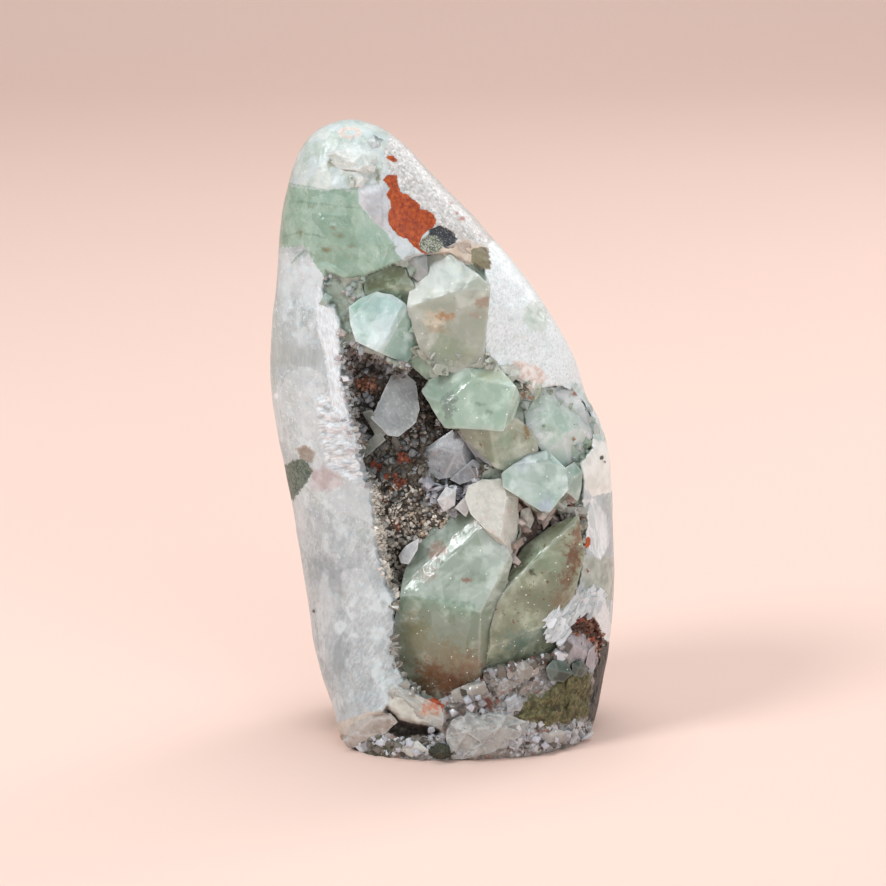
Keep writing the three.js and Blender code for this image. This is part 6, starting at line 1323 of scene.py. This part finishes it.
M_FOOTC = pale_mineral("foot_cream", lin(162, 152, 142), lin(190, 182, 174), lin(208, 204, 200), 0.36, seed=48.0, spot=lin(170, 140, 120), bump=0.6)
M_MASSG = clear_crystal("apophyllite_mass_green", lin(176, 208, 184), lin(208, 230, 216), lin(230, 242, 236), 0.3, 0.08, absorb=(0.62, 0.82, 0.68), density=45, seed=37.9, edge=0.35)
M_TEAL = clear_crystal("teal_nodule", lin(52, 62, 56), lin(84, 98, 90), lin(120, 134, 126), 0.05, 0.3, seed=49.0)
M_OLIVES = clear_crystal("olive_small", lin(112, 104, 80), lin(146, 138, 110), lin(172, 166, 140), 0.3, 0.12, absorb=(0.74, 0.7, 0.5), density=70, seed=51.0)
M_BEIGE = clear_crystal("beige_small", lin(206, 184, 164), lin(226, 208, 190), lin(236, 224, 210), 0.25, 0.14, absorb=(0.86, 0.76, 0.66), density=50, seed=53.0)

SMALL = [
    ("clear_a", [(403,262,2.6),(408,252,1.6),(418,250,1.2),(427,256,1.4),(428,274,2.0),(420,283,2.6),(408,274,2.8)], 6, M_GLASS, [(416,262,0.7)]),
    ("lilac_face", [(346,276,3.2),(370,272,2.6),(373,288,3.0),(358,300,3.4),(348,304,3.6),(344,290,3.6)], 5, M_LILAC, None),
    ("bluish_a", [(328,275,2.2),(336,270,1.8),(345,272,2.2),(344,284,2.6),(334,287,2.6)], 4, M_BLUISH, [(337,277,1.2)]),
    ("bluish_b", [(330,288,2.6),(343,286,2.4),(347,298,3.0),(340,306,3.2),(332,300,3.0)], 4, M_BLUISH, [(338,294,1.6)]),
    ("grey_green", [(338,304,3.4),(352,302,3.0),(361,318,3.4),(364,338,4.2),(348,342,4.4),(339,325,4.0)], 5, M_DEEP, None),
    ("olive_low", [(365,288,3.0),(385,278,2.6),(404,280,2.8),(412,300,3.2),(405,308,3.6),(380,292,3.4)], 5, M_OLIVE, None),
    ("bits_a", [(446,352,2.2),(462,346,1.6),(470,352,1.8),(468,366,2.8),(452,366,3.0)], 5, M_GLASS, [(460,355,1.0)]),
    ("bits_b", [(468,350,1.8),(484,346,1.6),(492,358,1.8),(486,368,2.4),(470,366,2.6)], 5, M_CREAM, [(480,357,0.9)]),
    ("bits_c", [(494,360,1.2),(506,358,0.8),(512,370,1.4),(500,376,2.0)], 4, M_BEIGE, None),
    ("facet_right", [(512,380,2.0),(528,383,1.8),(538,394,2.4),(530,414,3.4),(517,421,3.4)], 6, M_MID, None),
    ("mass_green", [(524,418,2.6),(534,398,1.6),(549,394,1.2),(563,418,1.4),(558,440,2.2),(540,434,2.6)], 6, M_MASSG, [(548,412,0.5)]),
    ("mass_white", [(556,392,0.6),(572,387,0.3),(583,402,0.6),(588,426,0.9),(577,441,1.4),(562,420,1.6)], 3.4, M_MASS, [(573,408,-0.4)]),
    ("mass_low", [(556,440,2.0),(566,424,1.4),(580,440,1.4),(582,456,2.0),(570,466,2.6),(560,454,2.6)], 5, M_MASSG, [(572,444,0.7)]),
    ("gap_white", [(521,510,4.6),(530,507,4.2),(534,520,4.8),(528,534,5.4),(520,524,5.2)], 4, M_CREAM, [(527,516,3.6)]),
    ("gap_pink", [(510,520,5.6),(519,515,5.2),(521,532,5.8),(514,545,6.4),(507,535,6.4)], 4, M_LILAC, None),
    ("grey_facet", [(549,482,3.0),(562,480,2.6),(578,492,3.0),(570,504,3.8),(553,505,4.2)], 6, M_LILAC, None),
    ("foot_plate", [(387,688,0.9),(404,690,0.0),(422,697,-0.3),(441,707,-0.3),(444,720,-0.1),(441,729,0.5),(425,724,0.1),(408,717,0.2),(393,709,0.8)], 3.6, M_FOOTP, [(415,704,-0.6),(432,716,-0.4)]),
    ("foot_cream", [(343,733,0.8),(352,721,0.3),(374,713,0.2),(390,713,0.6),(397,722,0.9),(386,733,0.9),(368,736,0.7),(352,746,0.8)], 4, M_FOOTC, [(370,722,-0.5)]),
    ("teal_a", [(546,668,-0.2),(553,660,-0.4),(566,662,-0.4),(573,672,-0.2),(563,682,0.0),(549,680,0.0)], 5, M_TEAL, [(559,671,-1.1)]),
    ("teal_b", [(572,664,-0.2),(581,660,-0.2),(588,668,0.0),(582,677,0.2),(573,675,0.0)], 5, M_TEAL, [(580,668,-0.8)]),
    ("beige_a", [(440,251,0.6),(455,243,0.0),(470,243,0.0),(474,256,0.1),(470,265,0.6),(453,262,0.7)], 2.6, M_BEIGE, None),
    ("olive_a", [(471,252,0.5),(479,247,0.2),(486,248,0.2),(488,266,0.6),(481,270,0.9),(473,264,0.8)], 2.2, M_OLIVES, None),
    ("lump_a", [(596,644,0.6),(589,650,0.2),(586,664,0.4),(593,672,0.6),(598,660,0.8)], 2.6, M_CHAL, None),
    ("white_a", [(437,500,5.2),(446,487,4.6),(456,490,4.6),(455,505,5.4),(444,512,5.8)], 4, M_CHIP, [(447,497,3.8)]),
    ("white_b", [(455,508,5.0),(464,498,4.4),(471,505,4.8),(466,517,5.4)], 4, M_CHIP, None),
    ("under_mid", [(443,398,4.0),(455,399,3.6),(466,424,4.0),(462,430,4.8),(448,420,5.0)], 5, M_BLUISH, None),
    ("chunk_c", [(345,170,0.3),(358,166,0.0),(370,170,0.3),(370,180,0.4),(363,190,0.5),(353,189,0.5),(347,181,0.5)], 3.0, M_CHUNK, [(357,174,-2.0),(363,178,-1.7),(358,184,-1.2)]),
    # the next piece is dark olive along the underside of the crown chunk: painted shade under its overhang
    ("chunk_d", [(331,160,0.5),(344,161,0.3),(349,168,0.5),(338,169,0.7)], 2.0, M_OLIVES, None),
    ("chunk_e", [(362,140,0.3),(373,133,0.0),(386,139,0.3),(384,151,0.4),(370,153,0.4)], 2.4, M_GLASS, [(375,142,-1.1)]),
    ("foot_a", [(450,692,0.3),(468,684,0.0),(484,681,0.0),(489,692,0.2),(474,703,0.3),(456,703,0.4)], 3.0, M_LILAC, [(470,691,-0.5)]),
    ("foot_b", [(506,668,0.3),(524,661,0.0),(541,662,0.1),(538,673,0.3),(522,682,0.4),(508,679,0.4)], 3.0, M_LILAC, [(524,670,-0.5)]),
    ("foot_c", [(400,742,0.3),(418,741,0.1),(428,750,0.2),(412,757,0.3),(400,752,0.4)], 3.0, M_CREAM, [(413,747,-0.5)]),
    ("foot_d", [(540,733,0.3),(556,729,0.0),(571,731,0.2),(564,742,0.4),(546,743,0.4)], 3.0, M_LILAC, [(556,735,-0.5)]),
    ("foot_e", [(505,700,0.4),(516,694,0.1),(526,700,0.2),(520,711,0.4),(508,712,0.5)], 3.0, M_BALL, [(516,702,-0.3)]),
    ("corner_a", [(484,340,1.0),(490,352,0.8),(494,366,1.0),(486,366,1.6),(480,352,1.6)], 4, M_OLIVES, None),
]
for _k, (_n, _o, _th, _m, _tip) in enumerate(SMALL):
    small_form("small_" + _n, _o, _th, _m, seed=60 + _k, tip=_tip, taper=0.6 if _n in ("olive_a", "beige_a", "lump_a", "mass_white") else 0.8, relief=0.12 if _n[:5] in ("chunk", "foot_") else 0.02, chip=0.35 if _n[:5] in ("chunk", "foot_") else 0.1)

# ---------------------------------------------------------------- druse: thousands of small crystals, joined
def tiny(kind, rng):
    """A unit crystal along +z, standing on z = -0.5: corners and triangles."""
    if kind == "prism":      # six-sided prism with a pyramid
        a = np.arange(6) * math.pi / 3 + rng.uniform(-0.25, 0.25, 6)
        r = rng.uniform(0.36, 0.5, 6)
        ring = np.stack([np.cos(a) * r, np.sin(a) * r], 1)
        pts = [(x * 0.9, y * 0.9, -0.5) for x, y in ring] + [(x, y, rng.uniform(0.25, 0.5)) for x, y in ring] + [(rng.uniform(-.12, .12), rng.uniform(-.12, .12), 1.0)]
    elif kind == "block":    # blocky, as small apophyllite and heulandite
        pts = []
        for x in (-.5, .5):
            for y in (-.5, .5):
                k = rng.uniform(0.75, 1.0, 2)
                pts += [(x * k[0], y * k[1], -0.5), (x * k[1], y * k[0], rng.uniform(0.3, 0.65)), (x * k[0] * 0.6, y * k[1] * 0.6, rng.uniform(0.6, 0.85))]
    elif kind == "blade":    # thin tabular stilbite
        pts = []
        for y in (-.12, .12):
            pts += [(-.42, y, -.5), (.42, y, -.5), (-.5, y, rng.uniform(.2, .6)), (.5, y, rng.uniform(.2, .6)), (rng.uniform(-.15, .15), y * 0.8, rng.uniform(.9, 1.0)), (-.3, y, .75), (.3, y, .72)]
    else:                    # steep pyramid
        a = np.arange(4) * math.pi / 2 + rng.uniform(-0.2, 0.2, 4)
        pts = [(math.cos(t) * 0.5, math.sin(t) * 0.5, 0.0) for t in a] + [(math.cos(t) * 0.4, math.sin(t) * 0.4, -0.5) for t in a] + [(rng.uniform(-.08, .08), rng.uniform(-.08, .08), 0.9)]
    bm = bmesh.new()
    for p in pts:
        bm.verts.new(Vector(p))
    r = bmesh.ops.convex_hull(bm, input=bm.verts[:])
    junk = {e for e in r["geom_interior"] + r["geom_unused"] if isinstance(e, bmesh.types.BMVert)}
    if junk:
        bmesh.ops.delete(bm, geom=list(junk), context="VERTS")
    bmesh.ops.recalc_face_normals(bm, faces=bm.faces[:])
    bm.verts.index_update()
    v = np.array([x.co[:] for x in bm.verts])
    f = np.array([[x.index for x in t.verts] for t in bm.faces])
    bm.free()
    return v, f

_t = np.random.default_rng(77)
TINY = {k: [tiny(k, _t) for _ in range(7)] for k in ("prism", "block", "blade", "pyramid")}
_DU = np.roll(POS, -1, axis=1) - POS
_DV = np.zeros_like(POS)
_DV[:-1] = POS[1:] - POS[:-1]
CELL_AREA = np.linalg.norm(np.cross(_DU, _DV), axis=-1)
LOWN = grid_normals(np.stack([sum(np.roll(np.roll(POS[..., k], i, 0), j, 1) for i in (-3, -1, 0, 1, 3) for j in (-3, -1, 0, 1, 3)) / 25 for k in range(3)], -1))

class Druse:
    def __init__(self, name, material, slot="matrix"):
        self.name, self.material, self.slot = name, material, slot
        self.v, self.f, self.c, self.n = [], [], [], 0

    def add(self, p, axis, roll, size, kind, rng, col):
        v, f = TINY[kind][rng.integers(7)]
        z = axis / np.linalg.norm(axis)
        x = np.cross(z, (0.31, 0.87, 0.37))
        x /= np.linalg.norm(x)
        y = np.cross(z, x)
        c, s = math.cos(roll), math.sin(roll)
        m = np.stack([x * c + y * s, y * c - x * s, z], 0)
        self.v.append((v * size) @ m + p)
        self.f.append(f + self.n)
        self.n += len(v)
        self.c.append(np.broadcast_to(col, (len(v), 3)))

    def patch(self, poly, count, kinds, size, palette, aspect=(1.0, 1.8), tilt=0.5, sink=0.25, seed=0, front=True, rim=0.0, lift=0.0):
        """count crystals on the stone inside a picture outline. palette: [(r, g, b, weight)]."""
        rng = np.random.default_rng(5000 + seed)
        sd = sdpoly(U0, V0, poly) if poly is not None else np.full(U0.shape, 9.0)
        w = CELL_AREA * ((sd > rim * 4.54) & FRONT & (POS[..., 2] > 0.8) & (ysid < -4.6))
        w = w.ravel() / w.sum()
        pick = rng.choice(w.size, count, p=w)
        r, c = np.unravel_index(pick, U0.shape)
        pal = np.array([lin(*q[:3]) for q in palette])
        pw = np.array([q[3] for q in palette], float)
        spots = fbm(POS[r, c], 0.28, 3, 900 + seed) * 0.42 + 0.5 + rng.normal(0, 0.2, count)
        ci = np.searchsorted(np.cumsum(pw / pw.sum())[:-1], np.clip(spots, 0, 1))
        ks = rng.choice(len(kinds), count)
        for i in range(count):
            n = LOWN[r[i], c[i]] + rng.normal(0, tilt, 3)
            if n[1] > 0.3:
                n[1] = -n[1]
            sz = size[0] + (size[1] - size[0]) * rng.random() ** 2.2
            asp = rng.uniform(*aspect)
            p = POS[r[i], c[i]] + rng.normal(0, 0.12, 3) + LOWN[r[i], c[i]] * (lift - sink * sz)
            jit = rng.normal(1.0, 0.10)
            self.add(p, n, rng.uniform(0, 6.28), np.array([sz, sz * rng.uniform(0.8, 1.1), sz * asp]), kinds[ks[i]], rng, np.clip(pal[ci[i]] * jit, 0, 1))

    def single(self, u, v, depth, length, width, axis, kind, rgb, roll=0.0, thick=1.0):
        """One crystal at picture position (u, v), depth mm behind the polished skin."""
        rng = np.random.default_rng(int(u * 7 + v * 13))
        p = on_skin(u, v, depth)
        self.add(p, np.array(axis, float), roll, np.array([width, width * thick, length]), kind, rng, np.array(lin(*rgb)))

    def build(self):
        v = np.vstack(self.v)
        v[:, 2] = np.maximum(v[:, 2], 0.15)
        o = new_mesh(self.name, v, np.vstack(self.f), self.material, smooth_shade=False)
        add_color(o, "grain", np.vstack(self.c))
        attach(o, "root")
        return o

def druse_material(name, clear, rough, density=120.0, absorb=(0.8, 0.82, 0.78)):
    s = Shader(name)
    v = s.coords()
    base = s.attr("grain", "Color")
    n = s.noise(v, 1.6, 3, 0.6)
    g = s.noise(v, 7.0, 3, 0.6)
    col = s.mix(s.remap(n, 0.35, 0.65, 0.0, 0.28), base, (0.9, 0.9, 0.9), "OVERLAY")
    col = s.mix(s.remap(g, 0.62, 0.72, 0.0, 0.35), col, (0.86, 0.86, 0.84))
    s.principled(Base_Color=col, Roughness=rough, IOR=1.53, Transmission_Weight=clear, Normal=s.bump(g, 0.2, 0.0001))
    ab = s.node("ShaderNodeVolumeAbsorption")
    ab.inputs["Color"].default_value = (*absorb, 1.0)
    ab.inputs["Density"].default_value = density
    s.link(ab.outputs["Volume"], s.out.inputs["Volume"])
    return s.m

M_DRUSE = druse_material("druse", 0.14, 0.3)
M_SAND = druse_material("druse_dark", 0.0, 0.3)
M_GREEN = druse_material("druse_green", 0.25, 0.2, 60.0, (0.62, 0.8, 0.66))

VUG_UP = [(341,343),(362,346),(392,362),(402,363),(409,347),(413,330),(421,338),(447,373),(462,410),(463,429),(430,440),(400,450),(362,455),(345,400),(341,385)]
VUG_MID = [(362,440),(430,432),(463,429),(485,433),(493,466),(480,472),(476,492),(440,520),(400,505),(368,485)]
VUG_LOW = [(366,470),(400,480),(440,500),(488,520),(440,563),(398,602),(384,578),(377,545),(372,505)]
sand = Druse("druse_sand", M_SAND)
sand.patch(VUG_UP, 1150, ["block", "prism"], (0.35, 1.15), [(92, 92, 88, 3), (128, 124, 118, 3), (160, 157, 152, 2), (190, 188, 186, 1), (130, 100, 84, 1)], seed=1, sink=0.4)
sand.patch(VUG_MID, 1050, ["block", "prism"], (0.35, 1.15), [(70, 67, 60, 3), (94, 90, 80, 3), (118, 112, 102, 2), (50, 47, 42, 2), (112, 80, 62, 1)], seed=2, sink=0.4)
sand.patch(VUG_LOW, 1700, ["block", "prism"], (0.35, 0.95), [(198, 190, 176, 3), (222, 214, 200, 4), (236, 230, 220, 2), (164, 156, 142, 2), (200, 170, 148, 1)], seed=3, sink=0.4)
# very dark crystals deep in the vug: painted shade where the vug lies in shadow
VUG_PAINTED_SHADE = [(416,376),(434,366),(446,376),(455,405),(462,430),(448,434),(430,438),(418,436),(414,410)]
sand.patch(VUG_PAINTED_SHADE, 340, ["block", "prism"], (0.4, 1.1), [(52, 47, 40, 3), (70, 64, 54, 3), (40, 38, 34, 2), (92, 84, 72, 1)], seed=4, sink=0.2, lift=0.3)
for k, (u, v, rr, n) in enumerate(((366, 385, 10, 44), (352, 352, 7, 10), (403, 457, 6, 34), (376, 466, 6, 26), (400, 480, 7, 34), (382, 474, 5, 16))):
    c = [(u + rr * math.cos(a), v + rr * 0.6 * math.sin(a)) for a in np.linspace(0, 2 * math.pi, 9)[:-1]]
    sand.patch(c, n, ["block"], (0.5, 1.1), ([(148, 104, 82, 3), (120, 80, 62, 2), (164, 122, 100, 1)] if k == 0 else [(128, 66, 44, 3), (104, 54, 40, 2), (150, 92, 70, 1)]) if k != 1 else [(196, 164, 160, 1), (170, 140, 140, 1)], seed=20 + k, lift=0.2)
# brown grains in the hollow at the lower right
sand.patch(ZONES["hollow"], 160, ["block", "prism"], (0.4, 1.3), [(110, 76, 62, 3), (140, 96, 78, 2), (80, 62, 54, 2), (168, 140, 128, 1), (150, 66, 48, 1)], seed=27, sink=0.3)
sand.build()

white_rng = np.random.default_rng(88)
white = Druse("druse_white", M_DRUSE)
white.patch(VUG_UP, 150, ["prism", "block"], (0.6, 1.7), [(130, 132, 136, 3), (162, 164, 168, 2), (104, 104, 106, 2)], seed=31, sink=0.4)
white.patch(VUG_MID, 190, ["block", "prism"], (0.7, 2.0), [(112, 114, 114, 3), (142, 145, 148, 2), (92, 91, 87, 2), (150, 134, 124, 1)], seed=32)
white.patch(VUG_LOW, 160, ["block", "prism"], (0.5, 1.5), [(160, 154, 146, 2), (186, 182, 178, 1)], seed=33)
white.patch([(425,470),(455,460),(480,475),(478,500),(462,515),(438,512),(424,492)], 110, ["block", "blade"], (1.0, 2.8), [(168, 170, 178, 3), (196, 198, 206, 2), (140, 138, 140, 1)], seed=34, lift=0.4)
# along the left wall of the vug
white.patch([(340,340),(362,346),(352,372),(350,400),(356,430),(364,462),(356,462),(346,430),(338,390),(336,362)], 130, ["block", "blade"], (0.5, 1.5), [(198, 198, 202, 3), (220, 222, 226, 3), (166, 160, 162, 1), (200, 182, 182, 1)], seed=35, tilt=0.6, sink=0.45)
# gap right of the column
white.patch(GAP, 90, ["block", "prism"], (0.8, 2.2), [(196, 184, 178, 2), (164, 148, 140, 2), (210, 204, 200, 1)], seed=36, lift=0.4)
# foot
FOOT_A = [(442,700),(452,688),(475,677),(486,663),(505,657),(543,648),(557,645),(575,636),(592,645),(597,670),(560,678),(530,697),(520,714),(500,722),(470,722),(444,727)]
FOOT_B = [(348,735),(362,724),(380,735),(400,738),(425,738),(444,734),(460,722),(462,757),(440,765),(400,765),(350,760)]
FOOT_C = [(510,722),(532,723),(550,726),(575,722),(592,725),(590,745),(560,756),(525,760),(505,752)]
white.patch(FOOT_A, 560, ["block", "prism", "block"], (0.8, 2.3), [(132, 131, 131, 3), (162, 163, 166, 3), (104, 99, 92, 3), (72, 66, 59, 2), (130, 86, 72, 1), (206, 208, 212, 1)], aspect=(0.6, 1.15), seed=37, tilt=0.4, sink=0.5)
white.patch(FOOT_B, 430, ["block", "prism", "block"], (0.8, 2.4), [(158, 160, 166, 3), (190, 193, 199, 3), (120, 114, 106, 3), (84, 78, 68, 2), (220, 223, 229, 1)], aspect=(0.6, 1.15), seed=38, tilt=0.4, sink=0.5)
white.patch(FOOT_C, 380, ["block", "prism", "blade"], (0.8, 2.3), [(170, 168, 168, 3), (200, 199, 202, 3), (126, 114, 104, 2), (94, 82, 72, 1), (160, 112, 94, 1)], aspect=(0.6, 1.2), seed=39, tilt=0.4, sink=0.5)
white.single(431, 730, 0.6, 2.8, 2.0, (0.1, -0.9, 0.45), "prism", (190, 194, 206), 0.3)
white.single(468, 700, 0.6, 2.4, 1.8, (-0.2, -0.9, 0.3), "block", (182, 188, 200), 0.8)
for k, (u, v) in enumerate(((410, 745), (398, 750), (418, 752), (470, 706), (478, 697), (454, 712), (566, 735), (556, 740), (545, 745), (535, 738))):
    white.single(u, v, 0.9, 2.2, 1.7, (0.3 * math.sin(k * 2.3), -0.9, 0.3 + 0.3 * math.cos(k)), ("block", "prism", "block")[k % 3], (192, 194, 202), k * 1.1)
# silky sheaves round the hollow at the lower right: broad flat blades, mostly up and to the left of it
ARCH = [(551,628),(552,612),(560,601),(575,594),(590,590),(601,594),(602,606),(592,610),(581,611),(572,620),(570,634),(561,641)]
for k in range(150):
    while True:
        u, v = white_rng.uniform(549, 604), white_rng.uniform(588, 642)
        if sdpoly(np.array([u]), np.array([v]), ARCH)[0] > 0.5:
            break
    lean = white_rng.normal(0, 0.16)
    white.single(u, v, white_rng.uniform(0.1, 0.8), white_rng.uniform(1.8, 3.6), white_rng.uniform(0.8, 1.7), (-0.62 + lean, -0.34 + white_rng.normal(0, 0.1), -0.62 - lean), "blade", ((222, 228, 231), (204, 211, 214), (234, 238, 241), (186, 193, 194))[k % 4], white_rng.uniform(-0.5, 0.5), 2.4)
# crumbly chunk on the crown
CHUNK = [(328,154),(338,146),(359,147),(369,153),(375,166),(372,176),(362,188),(352,187),(347,180),(353,172),(343,166),(331,163)]
for k in range(9):
    while True:
        u, v = white_rng.uniform(324, 376), white_rng.uniform(146, 190)
        if sdpoly(np.array([u]), np.array([v]), CHUNK)[0] > 1.0:
            break
    n = np.array((white_rng.normal(0, 0.6), -0.8, white_rng.normal(0.2, 0.5)))
    white.single(u, v, white_rng.uniform(-1.3, -0.3), white_rng.uniform(1.0, 1.9), white_rng.uniform(0.8, 1.5), n, ("block", "block", "blade")[k % 3], ((226, 233, 228), (208, 218, 210), (238, 242, 239), (194, 206, 196))[k % 4], white_rng.uniform(0, 6), 1.0)
white.build()

green = Druse("druse_field", M_GREEN)
FIELD_L = [(325,270),(345,278),(365,275),(372,292),(358,305),(356,330),(362,346),(341,343),(338,325),(335,306),(327,303),(322,290)]
green.patch(FIELD_L, 26, ["block", "pyramid"], (1.0, 2.4), [(160, 178, 170, 3), (188, 200, 200, 2), (184, 174, 170, 1)], seed=51, tilt=0.35, sink=0.4)
green.patch([(396,300),(416,300),(420,345),(440,368),(432,378),(405,362),(400,330)], 40, ["block", "pyramid"], (1.0, 2.4), [(140, 162, 142, 3), (168, 186, 168, 2)], seed=52, tilt=0.35, sink=0.4)
green.patch([(420,345),(450,352),(484,345),(500,370),(530,385),(545,392),(520,400),(515,372),(470,362),(440,372),(425,360)], 150, ["block", "pyramid", "blade"], (0.9, 2.6), [(188, 192, 178, 3), (212, 212, 204, 2), (160, 168, 148, 2), (214, 186, 172, 1)], seed=53, tilt=0.5, lift=0.3)
green.patch([(515,385),(545,392),(565,390),(585,402),(594,425),(592,448),(575,470),(583,500),(560,495),(570,450),(545,440),(530,415),(512,400)], 170, ["block", "pyramid", "prism"], (1.0, 2.8), [(172, 186, 176, 3), (200, 208, 204, 2), (150, 164, 146, 2), (176, 140, 116, 1)], seed=54, tilt=0.5, lift=0.4)
green.patch([(540,500),(583,500),(588,520),(583,555),(580,585),(553,612),(556,640),(548,645),(560,590),(578,545),(572,512)], 120, ["block", "blade"], (0.8, 2.2), [(176, 176, 164, 3), (200, 200, 192, 2), (140, 100, 80, 1)], seed=55, tilt=0.5, lift=0.2)
green.patch([(395,600),(404,604),(402,640),(405,680),(425,697),(412,694),(400,680),(394,655)], 90, ["block", "blade"], (0.7, 1.8), [(160, 160, 152, 3), (120, 114, 102, 2), (196, 198, 194, 1)], seed=56, tilt=0.5)
green.build()

# ---------------------------------------------------------------- floor, light, camera
def floor():
    s = Shader("floor")
    v = s.coords((0.004, 0.004, 0.004))
    n = s.noise(v, 1.0, 3, 0.5)
    c = s.mix(n, lin(238, 208, 195), lin(241, 213, 201))
    s.principled(Base_Color=c, Roughness=0.9, Specular_IOR_Level=0.1)
    # a flat floor that rises in a smooth sweep far behind
    prof = [(-1500, 0), (900, 0)] + [(900 + 500 * math.sin(a), 500 - 500 * math.cos(a)) for a in np.linspace(0, math.pi / 2, 14)[1:]] + [(1400, 1500)]
    vs, fs = [], []
    for i, (y, z) in enumerate(prof):
        vs += [(-2500, y, z), (2500, y, z)]
        if i:
            k = 2 * i
            fs.append((k - 2, k - 1, k + 1, k))
    o = new_mesh("floor", np.array(vs), np.array(fs), s.m)

floor()

def area(name, loc, target, size, energy, color=(1, 1, 1)):
    d = bpy.data.lights.new(name, "AREA")
    d.shape = "DISK"
    d.size = size
    d.energy = energy
    d.color = color
    o = bpy.data.objects.new(name, d)
    bpy.context.scene.collection.objects.link(o)
    o.location = loc
    o.rotation_euler = (Vector(target) - Vector(loc)).to_track_quat("-Z", "Y").to_euler()
    return o

area("key", (-0.72, -0.47, 0.95), (0, 0, 0.06), 0.36, 7.0, (0.96, 0.985, 1.0))
area("fill", (0.5, -1.05, 0.35), (0, 0, 0.06), 0.9, 4.9, (0.92, 0.965, 1.0))
area("top", (0.05, 0.2, 1.1), (0, 0, 0.05), 0.8, 5.6, (0.95, 0.98, 1.0))
area("rim", (0.6, 0.6, 0.5), (0, 0, 0.07), 0.4, 2.0, (0.96, 0.98, 1.0))

world = bpy.data.worlds.new("studio")
bpy.context.scene.world = world
world.use_nodes = True
world.node_tree.nodes["Background"].inputs["Color"].default_value = (0.95, 0.98, 1.0, 1.0)
world.node_tree.nodes["Background"].inputs["Strength"].default_value = 0.38
bpy.context.scene.view_settings.view_transform = "Standard"

cam = bpy.data.cameras.new("camera")
cam.lens = 166.02
cam.sensor_width = 36.0
cam.clip_start = 0.01
cam.clip_end = 20.0
co = bpy.data.objects.new("camera", cam)
bpy.context.scene.collection.objects.link(co)
co.location = (0.0, -0.9 * CE, 0.0646 + 0.9 * SE)
co.rotation_euler = (math.pi / 2 - TILT, 0.0, 0.0)
bpy.context.scene.camera = co
